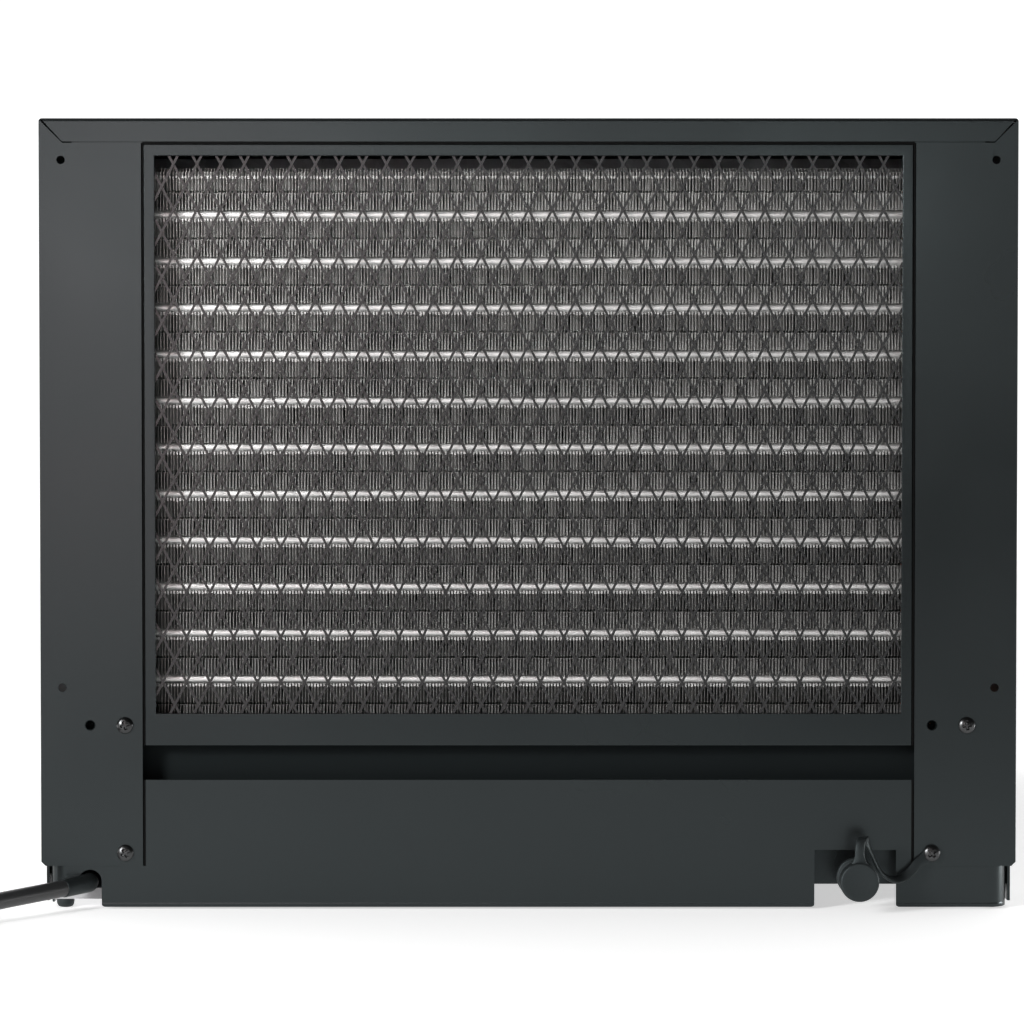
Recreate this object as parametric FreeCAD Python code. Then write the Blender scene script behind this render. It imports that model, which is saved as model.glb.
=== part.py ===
import FreeCAD, Part
import math
import os
from FreeCAD import Vector

# Rack air conditioner, eight units high, in millimetres.
# X runs to the right and Y away from someone looking at the hot-air end; Z is up.
# The floor under the feet is Z = 0 and the outline is centred on X = 0 and Y = 0.

# Rack standard
UNIT_HEIGHT = 44.45
UNIT_COUNT = 8
STACK_GAP = 0.6
PANEL_WIDTH = 482.6
PANEL_SHEET = 2.0
PANEL_BOTTOM = 1.0
EAR_WIDTH = 22.3
EAR_SLOT_EDGE = 8.75
EAR_RISE = 279.4
EAR_SLOT_R = 3.4
EAR_SLOT_TRAVEL = 3.5

# Cabinet sheet metal
BODY_DEPTH = 660.0
SHEET = 1.0
PAN_SHEET = 1.2
COVER_GAP = 0.5
COVER_BEND = 1.6
COVER_CORNER = 1.9
COVER_BOTTOM = 19.6
REAR_FLANGE = 45.7
TOP_LIP = 10.5
SEAM = 0.6
VENT_PITCH = 28.0
VENT_HEIGHT = 8.0
VENT_LENGTH = 120.0

# Hot-air end: apron, open slot, grille panel with its window
APRON_BOTTOM = 2.0
APRON_TOP = 58.3
APRON_INSET = 2.2
APRON_BEND = 8.0
APRON_RETURN = 18.0
APRON_CORNER = 1.8
AIR_SLOT = 15.6
GRILLE_SIDE = 6.0
GRILLE_HEAD = 6.3
GRILLE_FOOT = 14.4
GRILLE_RETURN = 8.0
GRILLE_GROOVE = 1.3
GRILLE_SUNK = 0.2
MESH_WIDE = 10.6
MESH_TALL = 20.2
MESH_STRAND = 1.1
MESH_LAYER = 0.8
MESH_RIM = 6.0

# Holes and screws in the hot-air end, measured from the cabinet side
DUCT_HOLE_EDGE = 9.8
DUCT_HOLE_R = 1.9
DUCT_HOLE_DROP = 18.7
DUCT_HOLE_RISE = 236.4
SCREW_OUTER_EDGE = 22.2
SCREW_INNER_EDGE = 37.8
SPARE_HOLE_R = 2.4
SCREW_CLEAR = 0.5
UPPER_ROW = 9.1
LOWER_ROW = 5.9

# Base
FOOT_HEIGHT = 4.0
FOOT_SIDE = 8.0
FOOT_EDGE = 9.8
SKID_HEIGHT = 5.0
SKID_WIDTH = 24.0
PAN_WALL = 41.0
PAN_SETBACK = 20.0
PAN_WING_SETBACK = 8.0
PAN_CORD_STEP = 36.0

# Condenser coil and its fan
TUBE_SIDES = 12
TUBE_R = 3.5
TUBE_PITCH = 21.0
ROW_DEPTH = 12.7
COIL_SETBACK = 14.0
COIL_DROP = 2.9
COIL_OVERLAP = 10.0
SILL_GAP = 0.3
SILL_LAP = 2.5
FIN = 0.3
FIN_PITCH = 14.1
COIL_BEND = 7.0
COIL_STUB = 12.0
SHROUD_DEPTH = 55.0
FAN_MARGIN = 12.0
FAN_TIP_GAP = 4.0
FAN_BLADES = 5
FAN_HUB_R = 30.0
FAN_DEPTH = 30.0
FAN_BLADE_ANGLE = 24
FAN_ROOT_HALF = 20.0
FAN_TIP_HALF = 34.0
SHAFT_R = 6.0
SHAFT_END = 3.0
RUNNING_FIT = 0.05

# Motor, bulkhead, blower
MOTOR_R = 58.0
MOTOR_LENGTH = 95.0
MOTOR_GAP = 40.0
PEDESTAL_SHEET = 3.0
PEDESTAL_INSET = 20.0
PEDESTAL_CRADLE = 6.0
CONDENSER_BAY = 300.0
SCROLL_WIDTH = 84.0
SCROLL_GAP = 14.0
SCROLL_GROWTH = 1.3
WHEEL_GAP = 8.0
WHEEL_BLADES = 16
WHEEL_RIM = 19.0
WHEEL_PLATE = 2.0
WHEEL_HUB = 28.0
WHEEL_HUB_R = 16.0

# Refrigerant circuit
COMPRESSOR_R = 55.0
COMPRESSOR_HEIGHT = 210.0
COMPRESSOR_GAP = 22.0
PAD_HEIGHT = 14.0
PAD_SIDE = 20.0
ACCUMULATOR_R = 22.0
PIPE_R = 4.0
CAPILLARY_R = 3.0

# Cold-air end
EDGE_MARGIN = 14.0
OUTLET_WIDTH = 84.0
OUTLET_BOTTOM = 80.0
INTAKE_RISE = 6.0
COLUMN_GAP = 22.0
EVAP_TUBE_R = 4.0
EVAP_PITCH = 46.0
EVAP_SETBACK = 36.0
EVAP_FIN_PITCH = 19.0
EVAP_HEADROOM = 36.0
TRAY_REACH = 10.0
TRAY_HEIGHT = 8.0
BEZEL = 5.0
BEZEL_DEPTH = 12.0
BEZEL_PROUD = 1.5
DOOR = 8.0
DOOR_GAP = 0.6
DOOR_PIN_R = 2.0
DOOR_BAR_PITCH = 15.0
FILTER = 5.0
CONTROL_WIDTH = 145.0
CONTROL_HEIGHT = 70.0
CONTROL_DEPTH = 100.0
CAPACITOR_INSET = 10.0
CAPACITOR_WIDE = 50.0
CAPACITOR_DEEP = 28.0
CAPACITOR_TALL = 38.0
FASCIA = 3.0
BUTTON_WIDE = 16.0
BUTTON_TALL = 9.0
BUTTON_PROUD = 2.0
BUTTON_PITCH = 24.0
BUTTON_CLEAR = 0.3
LOUVRE_PITCH = 20.0

# Drain and its tethered cap, measured from the cabinet side
DRAIN_EDGE = 72.0
DRAIN_Z = 15.0
DRAIN_NOTCH = 36.7
DRAIN_NOTCH_TOP = 26.7
SPOUT_R = 4.5
SPOUT_WALL = 1.5
SPOUT_REACH = 4.0
CAP_R = 8.7
CAP_REACH = 24.0
CAP_DISC = 8.0
CAP_RING = 3.0
CAP_NECK_R = 6.5
CAP_CLEAR = 0.5
TETHER_WIDTH = 4.5
TETHER_THICK = 1.2
TETHER_RISE = 7.0
TETHER_TAB = 8.0

# Supply cord
CORD_R = 3.75
CORD_EDGE = 21.8
CORD_Z = 12.6
CORD_HOLE_R = 5.2
CORD_SAG = 0.8
CORD_NOTCH_EDGE = 27.0
CORD_NOTCH_TOP = 11.0
BOOT_LENGTH = 16.0
BOOT_WALL = 0.55
BOOT_TIP_WALL = 0.3
BOOT_NECK = 4.5
CORD_TURNS_WIDE = 3
CORD_TURNS_HIGH = 3
COIL_MEAN_R = 41.0
CORD_RUN = 110.0
TAIL_RUN = 62.0
PLUG_LENGTH = 34.0
PLUG_WIDTH = 26.0
PLUG_THICK = 17.5
PLUG_NECK = 16.0
PLUG_GRIP = 1.5
BLADE_LENGTH = 17.0
BLADE_WIDTH = 6.5
BLADE_THICK = 1.5
BLADE_SPACING = 12.7
EARTH_PIN_LENGTH = 20.0
EARTH_PIN_R = 2.4

# Derived positions
HALF = PANEL_WIDTH / 2 - EAR_WIDTH
TOP = UNIT_COUNT * UNIT_HEIGHT - STACK_GAP
CEILING = TOP - SHEET
FRONT_REACH = FASCIA + BUTTON_PROUD
REAR_Y = (CAP_REACH - BODY_DEPTH - FRONT_REACH) / 2
FRONT_Y = REAR_Y + BODY_DEPTH

PAN_HALF = HALF - SHEET - COVER_GAP
APRON_HALF = PAN_HALF - APRON_INSET
PAN_INNER = PAN_HALF - PAN_SHEET
PAN_Z = FOOT_HEIGHT + SKID_HEIGHT
PAN_FLOOR = PAN_Z + PAN_SHEET

GRILLE_BOTTOM = APRON_TOP + AIR_SLOT
WINDOW_X = HALF - REAR_FLANGE - GRILLE_SIDE
WINDOW_BOTTOM = GRILLE_BOTTOM + GRILLE_FOOT
WINDOW_TOP = TOP - TOP_LIP - GRILLE_HEAD
DUCT_X = HALF - DUCT_HOLE_EDGE
DUCT_TOP = TOP - DUCT_HOLE_DROP
SCREW_OUTER = HALF - SCREW_OUTER_EDGE
SCREW_INNER = HALF - SCREW_INNER_EDGE
UPPER_Z = GRILLE_BOTTOM + UPPER_ROW
LOWER_Z = COVER_BOTTOM + LOWER_ROW
DRAIN_X = HALF - DRAIN_EDGE
CORD_X = -(HALF - CORD_EDGE)

OUTLET_X0 = -(HALF - EDGE_MARGIN)
OUTLET_X1 = OUTLET_X0 + OUTLET_WIDTH
OUTLET_TOP = TOP - EDGE_MARGIN - 10
NECK_X = OUTLET_X1 + 4
INTAKE_X0 = OUTLET_X1 + COLUMN_GAP
INTAKE_BOTTOM = PAN_Z + PAN_WALL + INTAKE_RISE
INTAKE_X1 = HALF - EDGE_MARGIN
CONTROL_X1 = INTAKE_X1
CONTROL_X0 = CONTROL_X1 - CONTROL_WIDTH
CONTROL_Z1 = TOP - EDGE_MARGIN - 6
CONTROL_Z0 = CONTROL_Z1 - CONTROL_HEIGHT


def behind(distance):
    """Y of a plane that lies a distance behind the hot-air end's outer face."""
    return REAR_Y + distance


def inside(distance):
    """Y of a plane that lies a distance inside the front panel's outer face."""
    return FRONT_Y - distance


def block(x0, x1, y0, y1, z0, z1):
    """Box between two opposite corners."""
    return Part.makeBox(x1 - x0, y1 - y0, z1 - z0, Vector(x0, y0, z0))


def rod_x(x0, x1, y, z, radius):
    """Cylinder along X."""
    return Part.makeCylinder(radius, x1 - x0, Vector(x0, y, z), Vector(1, 0, 0))


def rod_y(x, y0, y1, z, radius):
    """Cylinder along Y."""
    return Part.makeCylinder(radius, y1 - y0, Vector(x, y0, z), Vector(0, 1, 0))


def rod_z(x, y, z0, z1, radius):
    """Cylinder along Z."""
    return Part.makeCylinder(radius, z1 - z0, Vector(x, y, z0))


def plate(points, y0, y1):
    """Flat piece with an X, Z outline, between two Y planes."""
    corners = [Vector(x, y0, z) for x, z in points]
    outline = Part.makePolygon(corners + corners[:1])
    return Part.Face(outline).extrude(Vector(0, y1 - y0, 0))


def turned(profile, x, z):
    """Solid of revolution about a Y axis through x, z, from a radius, Y profile."""
    corners = [Vector(x + radius, y, z) for radius, y in profile]
    face = Part.Face(Part.makePolygon(corners + corners[:1]))
    return face.revolve(Vector(x, 0, z), Vector(0, 1, 0), 360)


def rounded(solid, radius, wanted):
    """Fillets the straight edges whose two end points both pass the test."""
    edges = [e for e in solid.Edges if all(wanted(v.Point) for v in e.Vertexes)]
    return solid.makeFillet(radius, edges)


def frame_ring(x0, x1, y0, y1, z0, z1, border):
    """Rectangular frame with the same border all round."""
    outer = block(x0, x1, y0, y1, z0, z1)
    hole = block(x0 + border, x1 - border, y0 - 1, y1 + 1, z0 + border, z1 - border)
    return outer.cut(hole)


def bent_tube(points, radius):
    """Refrigerant tube with mitred corners, its round section drawn with a few flats."""
    start = points[0]
    circle = Part.makeCircle(radius, start, points[1] - start)
    section = Part.makePolygon(circle.discretize(TUBE_SIDES + 1))
    path = Part.makePolygon(points)
    return path.makePipeShell([section], True, False, 1)


class Coil:
    """Finned-tube coil: staggered rows of tubes along X, fins across them, bends beyond both ends."""

    def __init__(self, rows, x0, x1, y0, z0, ceiling, tube_r, pitch, fin_pitch):
        self.rows = rows
        self.x0 = x0
        self.x1 = x1
        self.y0 = y0
        self.z0 = z0
        self.tube_r = tube_r
        self.pitch = pitch
        self.fin_pitch = fin_pitch
        self.tubes = 2 * int(((ceiling - z0) / pitch - 0.5) / 2)
        self.top = z0 + (self.tubes + 0.5) * pitch
        self.y1 = y0 + rows * ROW_DEPTH
        self.stub_x = x1 + PAN_SHEET + COIL_STUB

    def tube_y(self, row):
        """Y of one row of tubes, counted from the coil's outer face."""
        return self.y0 + ROW_DEPTH * (row + 0.5)

    def tube_z(self, row, tube):
        """Z of one tube, counted from the lowest; every second row sits half a pitch higher."""
        return self.z0 + self.pitch * (tube + 0.5 + 0.5 * (row % 2))

    def slotted(self, sheet):
        """Plate across the tubes with a tall slot that fits each row, standing at X = 0."""
        blade = block(0, sheet, self.y0, self.y1, self.z0, self.top)
        half = self.tube_r + RUNNING_FIT
        for row in range(self.rows):
            y = self.tube_y(row)
            low = self.tube_z(row, 0) - half
            high = min(self.tube_z(row, self.tubes - 1) + half, self.top - SHEET)
            blade = blade.cut(block(-1, sheet + 1, y - half, y + half, low, high))
        return blade

    def fins(self):
        """Evenly spaced fins, each a copy of one slotted blade."""
        blade = self.slotted(FIN)
        count = int((self.x1 - self.x0) / self.fin_pitch)
        first = (self.x0 + self.x1 - (count - 1) * self.fin_pitch - FIN) / 2
        copies = []
        for number in range(count):
            copy = blade.copy()
            copy.translate(Vector(first + number * self.fin_pitch, 0, 0))
            copies.append(copy)
        return Part.makeCompound(copies)

    def end_sheets(self):
        """Thicker slotted plates that hold the tubes at both ends."""
        left = self.slotted(PAN_SHEET)
        right = left.copy()
        left.translate(Vector(self.x0 - PAN_SHEET, 0, 0))
        right.translate(Vector(self.x1, 0, 0))
        return Part.makeCompound([left, right])

    def circuit(self):
        """One tube that zigzags down the last row, crosses over and climbs each row before it."""
        reach = PAN_SHEET + COIL_BEND
        points = []
        for row in reversed(range(self.rows)):
            order = list(range(self.tubes))
            if (self.rows - 1 - row) % 2 == 0:
                order.reverse()
            x = self.x1 + reach
            for tube in order:
                y = self.tube_y(row)
                z = self.tube_z(row, tube)
                points.append(Vector(x, y, z))
                x = self.x0 + self.x1 - x
                points.append(Vector(x, y, z))
        points[0].x = self.stub_x
        points[-1].x = self.stub_x
        return bent_tube(points, self.tube_r)


CONDENSER = Coil(
    rows=2,
    x0=-(WINDOW_X + COIL_OVERLAP),
    x1=WINDOW_X + COIL_OVERLAP,
    y0=behind(COIL_SETBACK),
    z0=GRILLE_BOTTOM - COIL_DROP,
    ceiling=WINDOW_TOP,
    tube_r=TUBE_R,
    pitch=TUBE_PITCH,
    fin_pitch=FIN_PITCH,
)
EVAPORATOR = Coil(
    rows=1,
    x0=INTAKE_X0 + COIL_STUB,
    x1=INTAKE_X1 - COIL_STUB - 3 * EVAP_TUBE_R,
    y0=inside(EVAP_SETBACK + ROW_DEPTH),
    z0=PAN_FLOOR + SHEET,
    ceiling=CONTROL_Z0 - EVAP_HEADROOM,
    tube_r=EVAP_TUBE_R,
    pitch=EVAP_PITCH,
    fin_pitch=EVAP_FIN_PITCH,
)

SHROUD_Y0 = CONDENSER.y1
SHROUD_Y1 = SHROUD_Y0 + SHROUD_DEPTH
FAN_Z = (CONDENSER.z0 + CONDENSER.top) / 2
FAN_R = min(CONDENSER.x1, (CONDENSER.top - CONDENSER.z0) / 2) - FAN_MARGIN
FAN_Y0 = SHROUD_Y1 - FAN_DEPTH / 2
FAN_Y1 = FAN_Y0 + FAN_DEPTH
MOTOR_Y0 = FAN_Y1 + MOTOR_GAP
MOTOR_Y1 = MOTOR_Y0 + MOTOR_LENGTH
BULKHEAD_Y = behind(CONDENSER_BAY)
SCROLL_Y0 = BULKHEAD_Y + PAN_SHEET
SCROLL_Y1 = SCROLL_Y0 + SCROLL_WIDTH
SCROLL_R1 = min(SCROLL_GROWTH * (-NECK_X - SCROLL_GAP), CEILING - 6 - FAN_Z)
SCROLL_R0 = SCROLL_R1 / SCROLL_GROWTH
WHEEL_R = SCROLL_R0 - WHEEL_GAP
WHEEL_Y0 = SCROLL_Y0 + WHEEL_GAP
WHEEL_Y1 = SCROLL_Y1 - WHEEL_GAP
COMPRESSOR_X = PAN_INNER - COMPRESSOR_GAP - COMPRESSOR_R
COMPRESSOR_Y = MOTOR_Y0 + MOTOR_LENGTH / 2
COMPRESSOR_Z = PAN_FLOOR + PAD_HEIGHT
PIPE_X = PAN_INNER - PIPE_R - 8
INTAKE_TOP = EVAPORATOR.top - 6
HINGE_Y = inside(DOOR / 2)
HINGE_Z = INTAKE_BOTTOM + BEZEL + DOOR_GAP + DOOR / 2


def rear_holes():
    """X, Z and radius of the open holes in the hot-air end's flanges."""
    holes = []
    for side in (-1, 1):
        holes.append((side * DUCT_X, DUCT_TOP, DUCT_HOLE_R))
        holes.append((side * DUCT_X, DUCT_TOP - DUCT_HOLE_RISE, DUCT_HOLE_R))
    holes.append((-SCREW_OUTER, UPPER_Z, SPARE_HOLE_R))
    holes.append((SCREW_INNER, UPPER_Z, SPARE_HOLE_R))
    return holes


def outer_cover():
    """Top and sides in one wrap, with mitred flanges turned in at the hot-air end."""
    wrap = block(-HALF, HALF, REAR_Y, inside(PANEL_SHEET), COVER_BOTTOM, TOP)
    wrap = rounded(wrap, COVER_BEND, lambda p: abs(p.z - TOP) < 0.01 and abs(abs(p.x) - HALF) < 0.01)
    inner = HALF - SHEET
    wrap = wrap.cut(block(-inner, inner, behind(SHEET), FRONT_Y, COVER_BOTTOM - 1, CEILING))
    mouth = HALF - REAR_FLANGE
    lip = TOP - TOP_LIP
    wrap = wrap.cut(block(-mouth, mouth, REAR_Y - 1, behind(2), COVER_BOTTOM - 1, lip))
    for side in (-1, 1):
        corner = [
            (side * (HALF + 1), COVER_BOTTOM - 1),
            (side * (HALF + 1), COVER_BOTTOM + COVER_CORNER + 1),
            (side * (HALF - COVER_CORNER - 1), COVER_BOTTOM - 1),
        ]
        wrap = wrap.cut(plate(corner, REAR_Y - 1, FRONT_Y))
    for side in (-1, 1):
        corner = side * (HALF - SHEET)
        mitre = side * (HALF - TOP_LIP)
        seam = [
            (corner, CEILING - SEAM),
            (corner, CEILING),
            (corner - side * SEAM, CEILING),
            (mitre, lip),
            (side * mouth, lip),
            (side * mouth, lip - SEAM),
            (mitre, lip - SEAM),
        ]
        wrap = wrap.cut(plate(seam, REAR_Y - 1, behind(SHEET)))
    for x, z, radius in rear_holes():
        wrap = wrap.cut(rod_y(x, REAR_Y - 1, behind(SHEET + 1), z, radius))
    slots = int((CEILING - COVER_BOTTOM - 3 * VENT_PITCH) / VENT_PITCH)
    middle = (SHROUD_Y1 + BULKHEAD_Y) / 2
    for number in range(slots):
        z = COVER_BOTTOM + 2.5 * VENT_PITCH + number * VENT_PITCH
        y0 = middle - VENT_LENGTH / 2
        y1 = middle + VENT_LENGTH / 2
        wrap = wrap.cut(block(-HALF - 1, HALF + 1, y0, y1, z, z + VENT_HEIGHT))
    return wrap


def grille_panel():
    """Panel behind the flanges, raised between them, with the window and a return at its foot."""
    half = DUCT_X - DUCT_HOLE_R - 3
    y0 = behind(SHEET)
    y1 = behind(2 * SHEET)
    panel = block(-half, half, y0, y1, GRILLE_BOTTOM, CEILING - 2)
    fold = block(-WINDOW_X, WINDOW_X, y1, y1 + GRILLE_RETURN, GRILLE_BOTTOM, GRILLE_BOTTOM + SHEET)
    reach = HALF - REAR_FLANGE - GRILLE_GROOVE
    head = TOP - TOP_LIP - GRILLE_GROOVE
    raised = block(-reach, reach, behind(GRILLE_SUNK), y0, GRILLE_BOTTOM, head)
    panel = panel.multiFuse([fold, raised]).removeSplitter()
    panel = panel.cut(block(-WINDOW_X, WINDOW_X, y0 - 1, y1 + 1, WINDOW_BOTTOM, WINDOW_TOP))
    for x in (-SCREW_OUTER, SCREW_INNER):
        panel = panel.cut(rod_y(x, y0 - 1, y1 + 1, UPPER_Z, SPARE_HOLE_R + SCREW_CLEAR))
    return panel


def mesh_layer(lean, y0):
    """One layer of the diamond mesh: parallel strands that lean one way, held by a rim."""
    y1 = y0 + MESH_LAYER
    x1 = WINDOW_X + MESH_RIM
    z0 = WINDOW_BOTTOM - MESH_RIM
    z1 = WINDOW_TOP + MESH_RIM
    rim = frame_ring(-x1, x1, y0, y1, z0, z1, MESH_RIM - MESH_STRAND)
    run = lean * MESH_WIDE / MESH_TALL
    half = MESH_STRAND / 2 * math.hypot(1, MESH_WIDE / MESH_TALL)
    middle = (z0 + z1) / 2
    reach = (z1 - z0) / 2
    sweep = abs(run) * reach
    count = int((x1 + sweep) / MESH_WIDE)
    field = block(-x1 + 2, x1 - 2, y0, y1, z0 + 2, z1 - 2)
    strands = []
    for number in range(-count, count + 1):
        low = number * MESH_WIDE - run * reach
        high = number * MESH_WIDE + run * reach
        corners = [
            (low - half, middle - reach),
            (low + half, middle - reach),
            (high + half, middle + reach),
            (high - half, middle + reach),
        ]
        strand = plate(corners, y0, y1).common(field)
        if strand.Volume > 1:
            strands.append(strand)
    return rim.multiFuse(strands).removeSplitter()


def mesh_guard():
    """Two crossing layers, one lying on the other."""
    y0 = behind(2 * SHEET)
    return Part.makeCompound([mesh_layer(1, y0), mesh_layer(-1, y0 + MESH_LAYER)])


def upright_edges(solid, y, radius):
    """Rounds the upright edges that lie in one Y plane."""
    edges = []
    for edge in solid.Edges:
        ends = [v.Point for v in edge.Vertexes]
        if all(abs(p.y - y) < 0.01 for p in ends) and abs(ends[0].z - ends[-1].z) > 1:
            edges.append(edge)
    return solid.makeFillet(radius, edges)


def rear_apron():
    """Lower panel with rounded returns, a notch for the drain and a slot for the cord."""
    y0 = behind(SHEET)
    y1 = y0 + APRON_RETURN
    skin = block(-APRON_HALF, APRON_HALF, y0, y1, APRON_BOTTOM, APRON_TOP)
    skin = upright_edges(skin, y0, APRON_BEND)
    inner = APRON_HALF - SHEET
    room = block(-inner, inner, y0 + SHEET, y1 + 1, APRON_BOTTOM - 1, APRON_TOP + 1)
    room = upright_edges(room, y0 + SHEET, APRON_BEND - SHEET)
    skin = skin.cut(room)
    half = DRAIN_NOTCH / 2
    through = y0 + SHEET + 1
    low = APRON_BOTTOM - 1
    skin = skin.cut(block(DRAIN_X - half, DRAIN_X + half, y0 - 1, through, low, DRAIN_NOTCH_TOP))
    edge = -(HALF - CORD_NOTCH_EDGE)
    skin = skin.cut(block(-HALF, edge, y0 - 1, through + APRON_BEND, low, CORD_NOTCH_TOP))
    skin = skin.cut(rod_y(CORD_X, y0 - 1, through, CORD_Z, CORD_HOLE_R))
    slot = block(CORD_X - CORD_HOLE_R, CORD_X + CORD_HOLE_R, y0 - 1, through, low, CORD_Z)
    skin = skin.cut(slot)
    corners = []
    for line in skin.Edges:
        ends = [v.Point for v in line.Vertexes]
        at_notch = any(abs(ends[0].x - x) < 0.01 for x in (edge, DRAIN_X - half, DRAIN_X + half))
        if at_notch and abs(ends[0].z - APRON_BOTTOM) < 0.01 and abs(ends[0].y - ends[-1].y) > SHEET / 2:
            corners.append(line)
    return skin.makeFillet(APRON_CORNER, corners)


def base_pan():
    """Drain pan with a stepped corner that leaves room for the cord, wings beside the apron and a spout."""
    y0 = behind(PAN_SETBACK)
    y1 = inside(PANEL_SHEET)
    corners = [
        Vector(-PAN_HALF + PAN_CORD_STEP, y0, PAN_Z),
        Vector(PAN_HALF, y0, PAN_Z),
        Vector(PAN_HALF, y1, PAN_Z),
        Vector(-PAN_HALF, y1, PAN_Z),
        Vector(-PAN_HALF, y0 + PAN_CORD_STEP, PAN_Z),
        Vector(-PAN_HALF + PAN_CORD_STEP, y0 + PAN_CORD_STEP, PAN_Z),
    ]
    outline = Part.Face(Part.makePolygon(corners + corners[:1]))
    hollow = outline.makeOffset2D(-PAN_SHEET)
    hollow.translate(Vector(0, 0, PAN_SHEET))
    pan = outline.extrude(Vector(0, 0, PAN_WALL)).cut(hollow.extrude(Vector(0, 0, PAN_WALL)))
    wing_start = behind(PAN_WING_SETBACK)
    wing_end = y0 + PAN_CORD_STEP + PAN_SHEET
    for x in (-PAN_HALF, PAN_INNER):
        wing = block(x, x + PAN_SHEET, wing_start, wing_end, APRON_BOTTOM + 1, PAN_Z + PAN_WALL)
        pan = pan.fuse(wing).removeSplitter()
    mouth = behind(-SPOUT_REACH)
    pan = pan.fuse(rod_y(DRAIN_X, mouth, y0, DRAIN_Z, SPOUT_R))
    return pan.cut(rod_y(DRAIN_X, mouth - 1, y0 + PAN_SHEET + 1, DRAIN_Z, SPOUT_R - SPOUT_WALL))


def skid_x():
    """X of the middle of a skid rail."""
    return APRON_HALF - 2 * SHEET - SKID_WIDTH / 2


def skid_rails():
    """Two box rails under the pan, open only behind the front panel."""
    rails = []
    for side in (-1, 1):
        x0 = side * skid_x() - SKID_WIDTH / 2
        x1 = x0 + SKID_WIDTH
        y0 = behind(6)
        y1 = inside(6)
        rail = block(x0, x1, y0, y1, FOOT_HEIGHT, PAN_Z)
        bore = block(x0 + SHEET, x1 - SHEET, y0 + SHEET, y1 + 1, FOOT_HEIGHT + SHEET, PAN_Z - SHEET)
        rails.append(rail.cut(bore))
    return Part.makeCompound(rails)


def feet():
    """Four rubber feet under the ends of the rails."""
    half = FOOT_SIDE / 2
    pads = []
    for side in (-1, 1):
        x = side * (HALF - FOOT_EDGE)
        for y in (behind(6 + half), inside(6 + half)):
            pads.append(block(x - half, x + half, y - half, y + half, 0, FOOT_HEIGHT))
    return Part.makeCompound(pads)


def coil_sill():
    """Shelf that carries the condenser behind a tall lip, on a web that stands in the pan."""
    half = CONDENSER.x1 + PAN_SHEET
    y0 = CONDENSER.y0 - SILL_GAP - PAN_SHEET
    web = behind(PAN_SETBACK + PAN_SHEET + 3)
    top = CONDENSER.z0
    shelf = block(-half, half, y0, CONDENSER.y1, top - PAN_SHEET, top)
    lip = block(-half, half, y0, y0 + PAN_SHEET, APRON_TOP - SILL_LAP, GRILLE_BOTTOM + SILL_LAP)
    wall = block(-half, half, web, web + PAN_SHEET, PAN_FLOOR, top - PAN_SHEET)
    return shelf.multiFuse([lip, wall]).removeSplitter()


def condenser_shroud():
    """Duct from the coil to the fan, with a round orifice in its back plate."""
    half = CONDENSER.x1 + PAN_SHEET
    low = CONDENSER.z0
    high = CONDENSER.top
    back = SHROUD_Y1 - SHEET
    duct = block(-half, half, SHROUD_Y0, SHROUD_Y1, low, high)
    half -= SHEET
    duct = duct.cut(block(-half, half, SHROUD_Y0 - 1, back, low + SHEET, high - SHEET))
    return duct.cut(rod_y(0, back - 1, SHROUD_Y1 + 1, FAN_Z, FAN_R + FAN_TIP_GAP))


def condenser_fan():
    """Axial fan: a hub with pitched blades that widen towards their tips."""
    middle = (FAN_Y0 + FAN_Y1) / 2
    hub = rod_y(0, FAN_Y0, FAN_Y1, FAN_Z, FAN_HUB_R)
    tip = FAN_Z + math.sqrt(FAN_R ** 2 - FAN_TIP_HALF ** 2)
    root = FAN_Z + FAN_HUB_R / 2
    outline = [(-FAN_ROOT_HALF, root), (FAN_ROOT_HALF, root), (FAN_TIP_HALF, tip), (-FAN_TIP_HALF, tip)]
    blades = []
    for number in range(FAN_BLADES):
        blade = plate(outline, middle - 1, middle + 1)
        blade.rotate(Vector(0, middle, FAN_Z), Vector(0, 0, 1), FAN_BLADE_ANGLE)
        blade.rotate(Vector(0, 0, FAN_Z), Vector(0, 1, 0), 360 * number / FAN_BLADES)
        blades.append(blade)
    fan = hub.multiFuse(blades)
    return fan.cut(rod_y(0, FAN_Y0 - 1, FAN_Y1 + 1, FAN_Z, SHAFT_R))


def fan_shaft():
    """Shaft that carries the fan and the blower wheel on the two ends of the motor."""
    return rod_y(0, FAN_Y0 - SHAFT_END, WHEEL_Y0 + WHEEL_PLATE + WHEEL_HUB + SHAFT_END, FAN_Z, SHAFT_R)


def fan_motor():
    """Motor can, bored through for the shaft."""
    can = rod_y(0, MOTOR_Y0, MOTOR_Y1, FAN_Z, MOTOR_R)
    return can.cut(rod_y(0, MOTOR_Y0 - 1, MOTOR_Y1 + 1, FAN_Z, SHAFT_R + RUNNING_FIT))


def motor_pedestal():
    """Folded stand on the pan floor, hollowed out for the motor can."""
    half = MOTOR_R - PEDESTAL_CRADLE
    y0 = MOTOR_Y0 + PEDESTAL_INSET
    y1 = MOTOR_Y1 - PEDESTAL_INSET
    stand = block(-half, half, y0, y1, PAN_FLOOR, FAN_Z)
    room = half - PEDESTAL_SHEET
    low = PAN_FLOOR + PEDESTAL_SHEET
    core = block(-room, room, y0 - 1, y1 + 1, low, FAN_Z - MOTOR_R - PEDESTAL_CRADLE)
    stand = stand.cut(core)
    return stand.cut(rod_y(0, y0 - 1, y1 + 1, FAN_Z, MOTOR_R))


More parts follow.
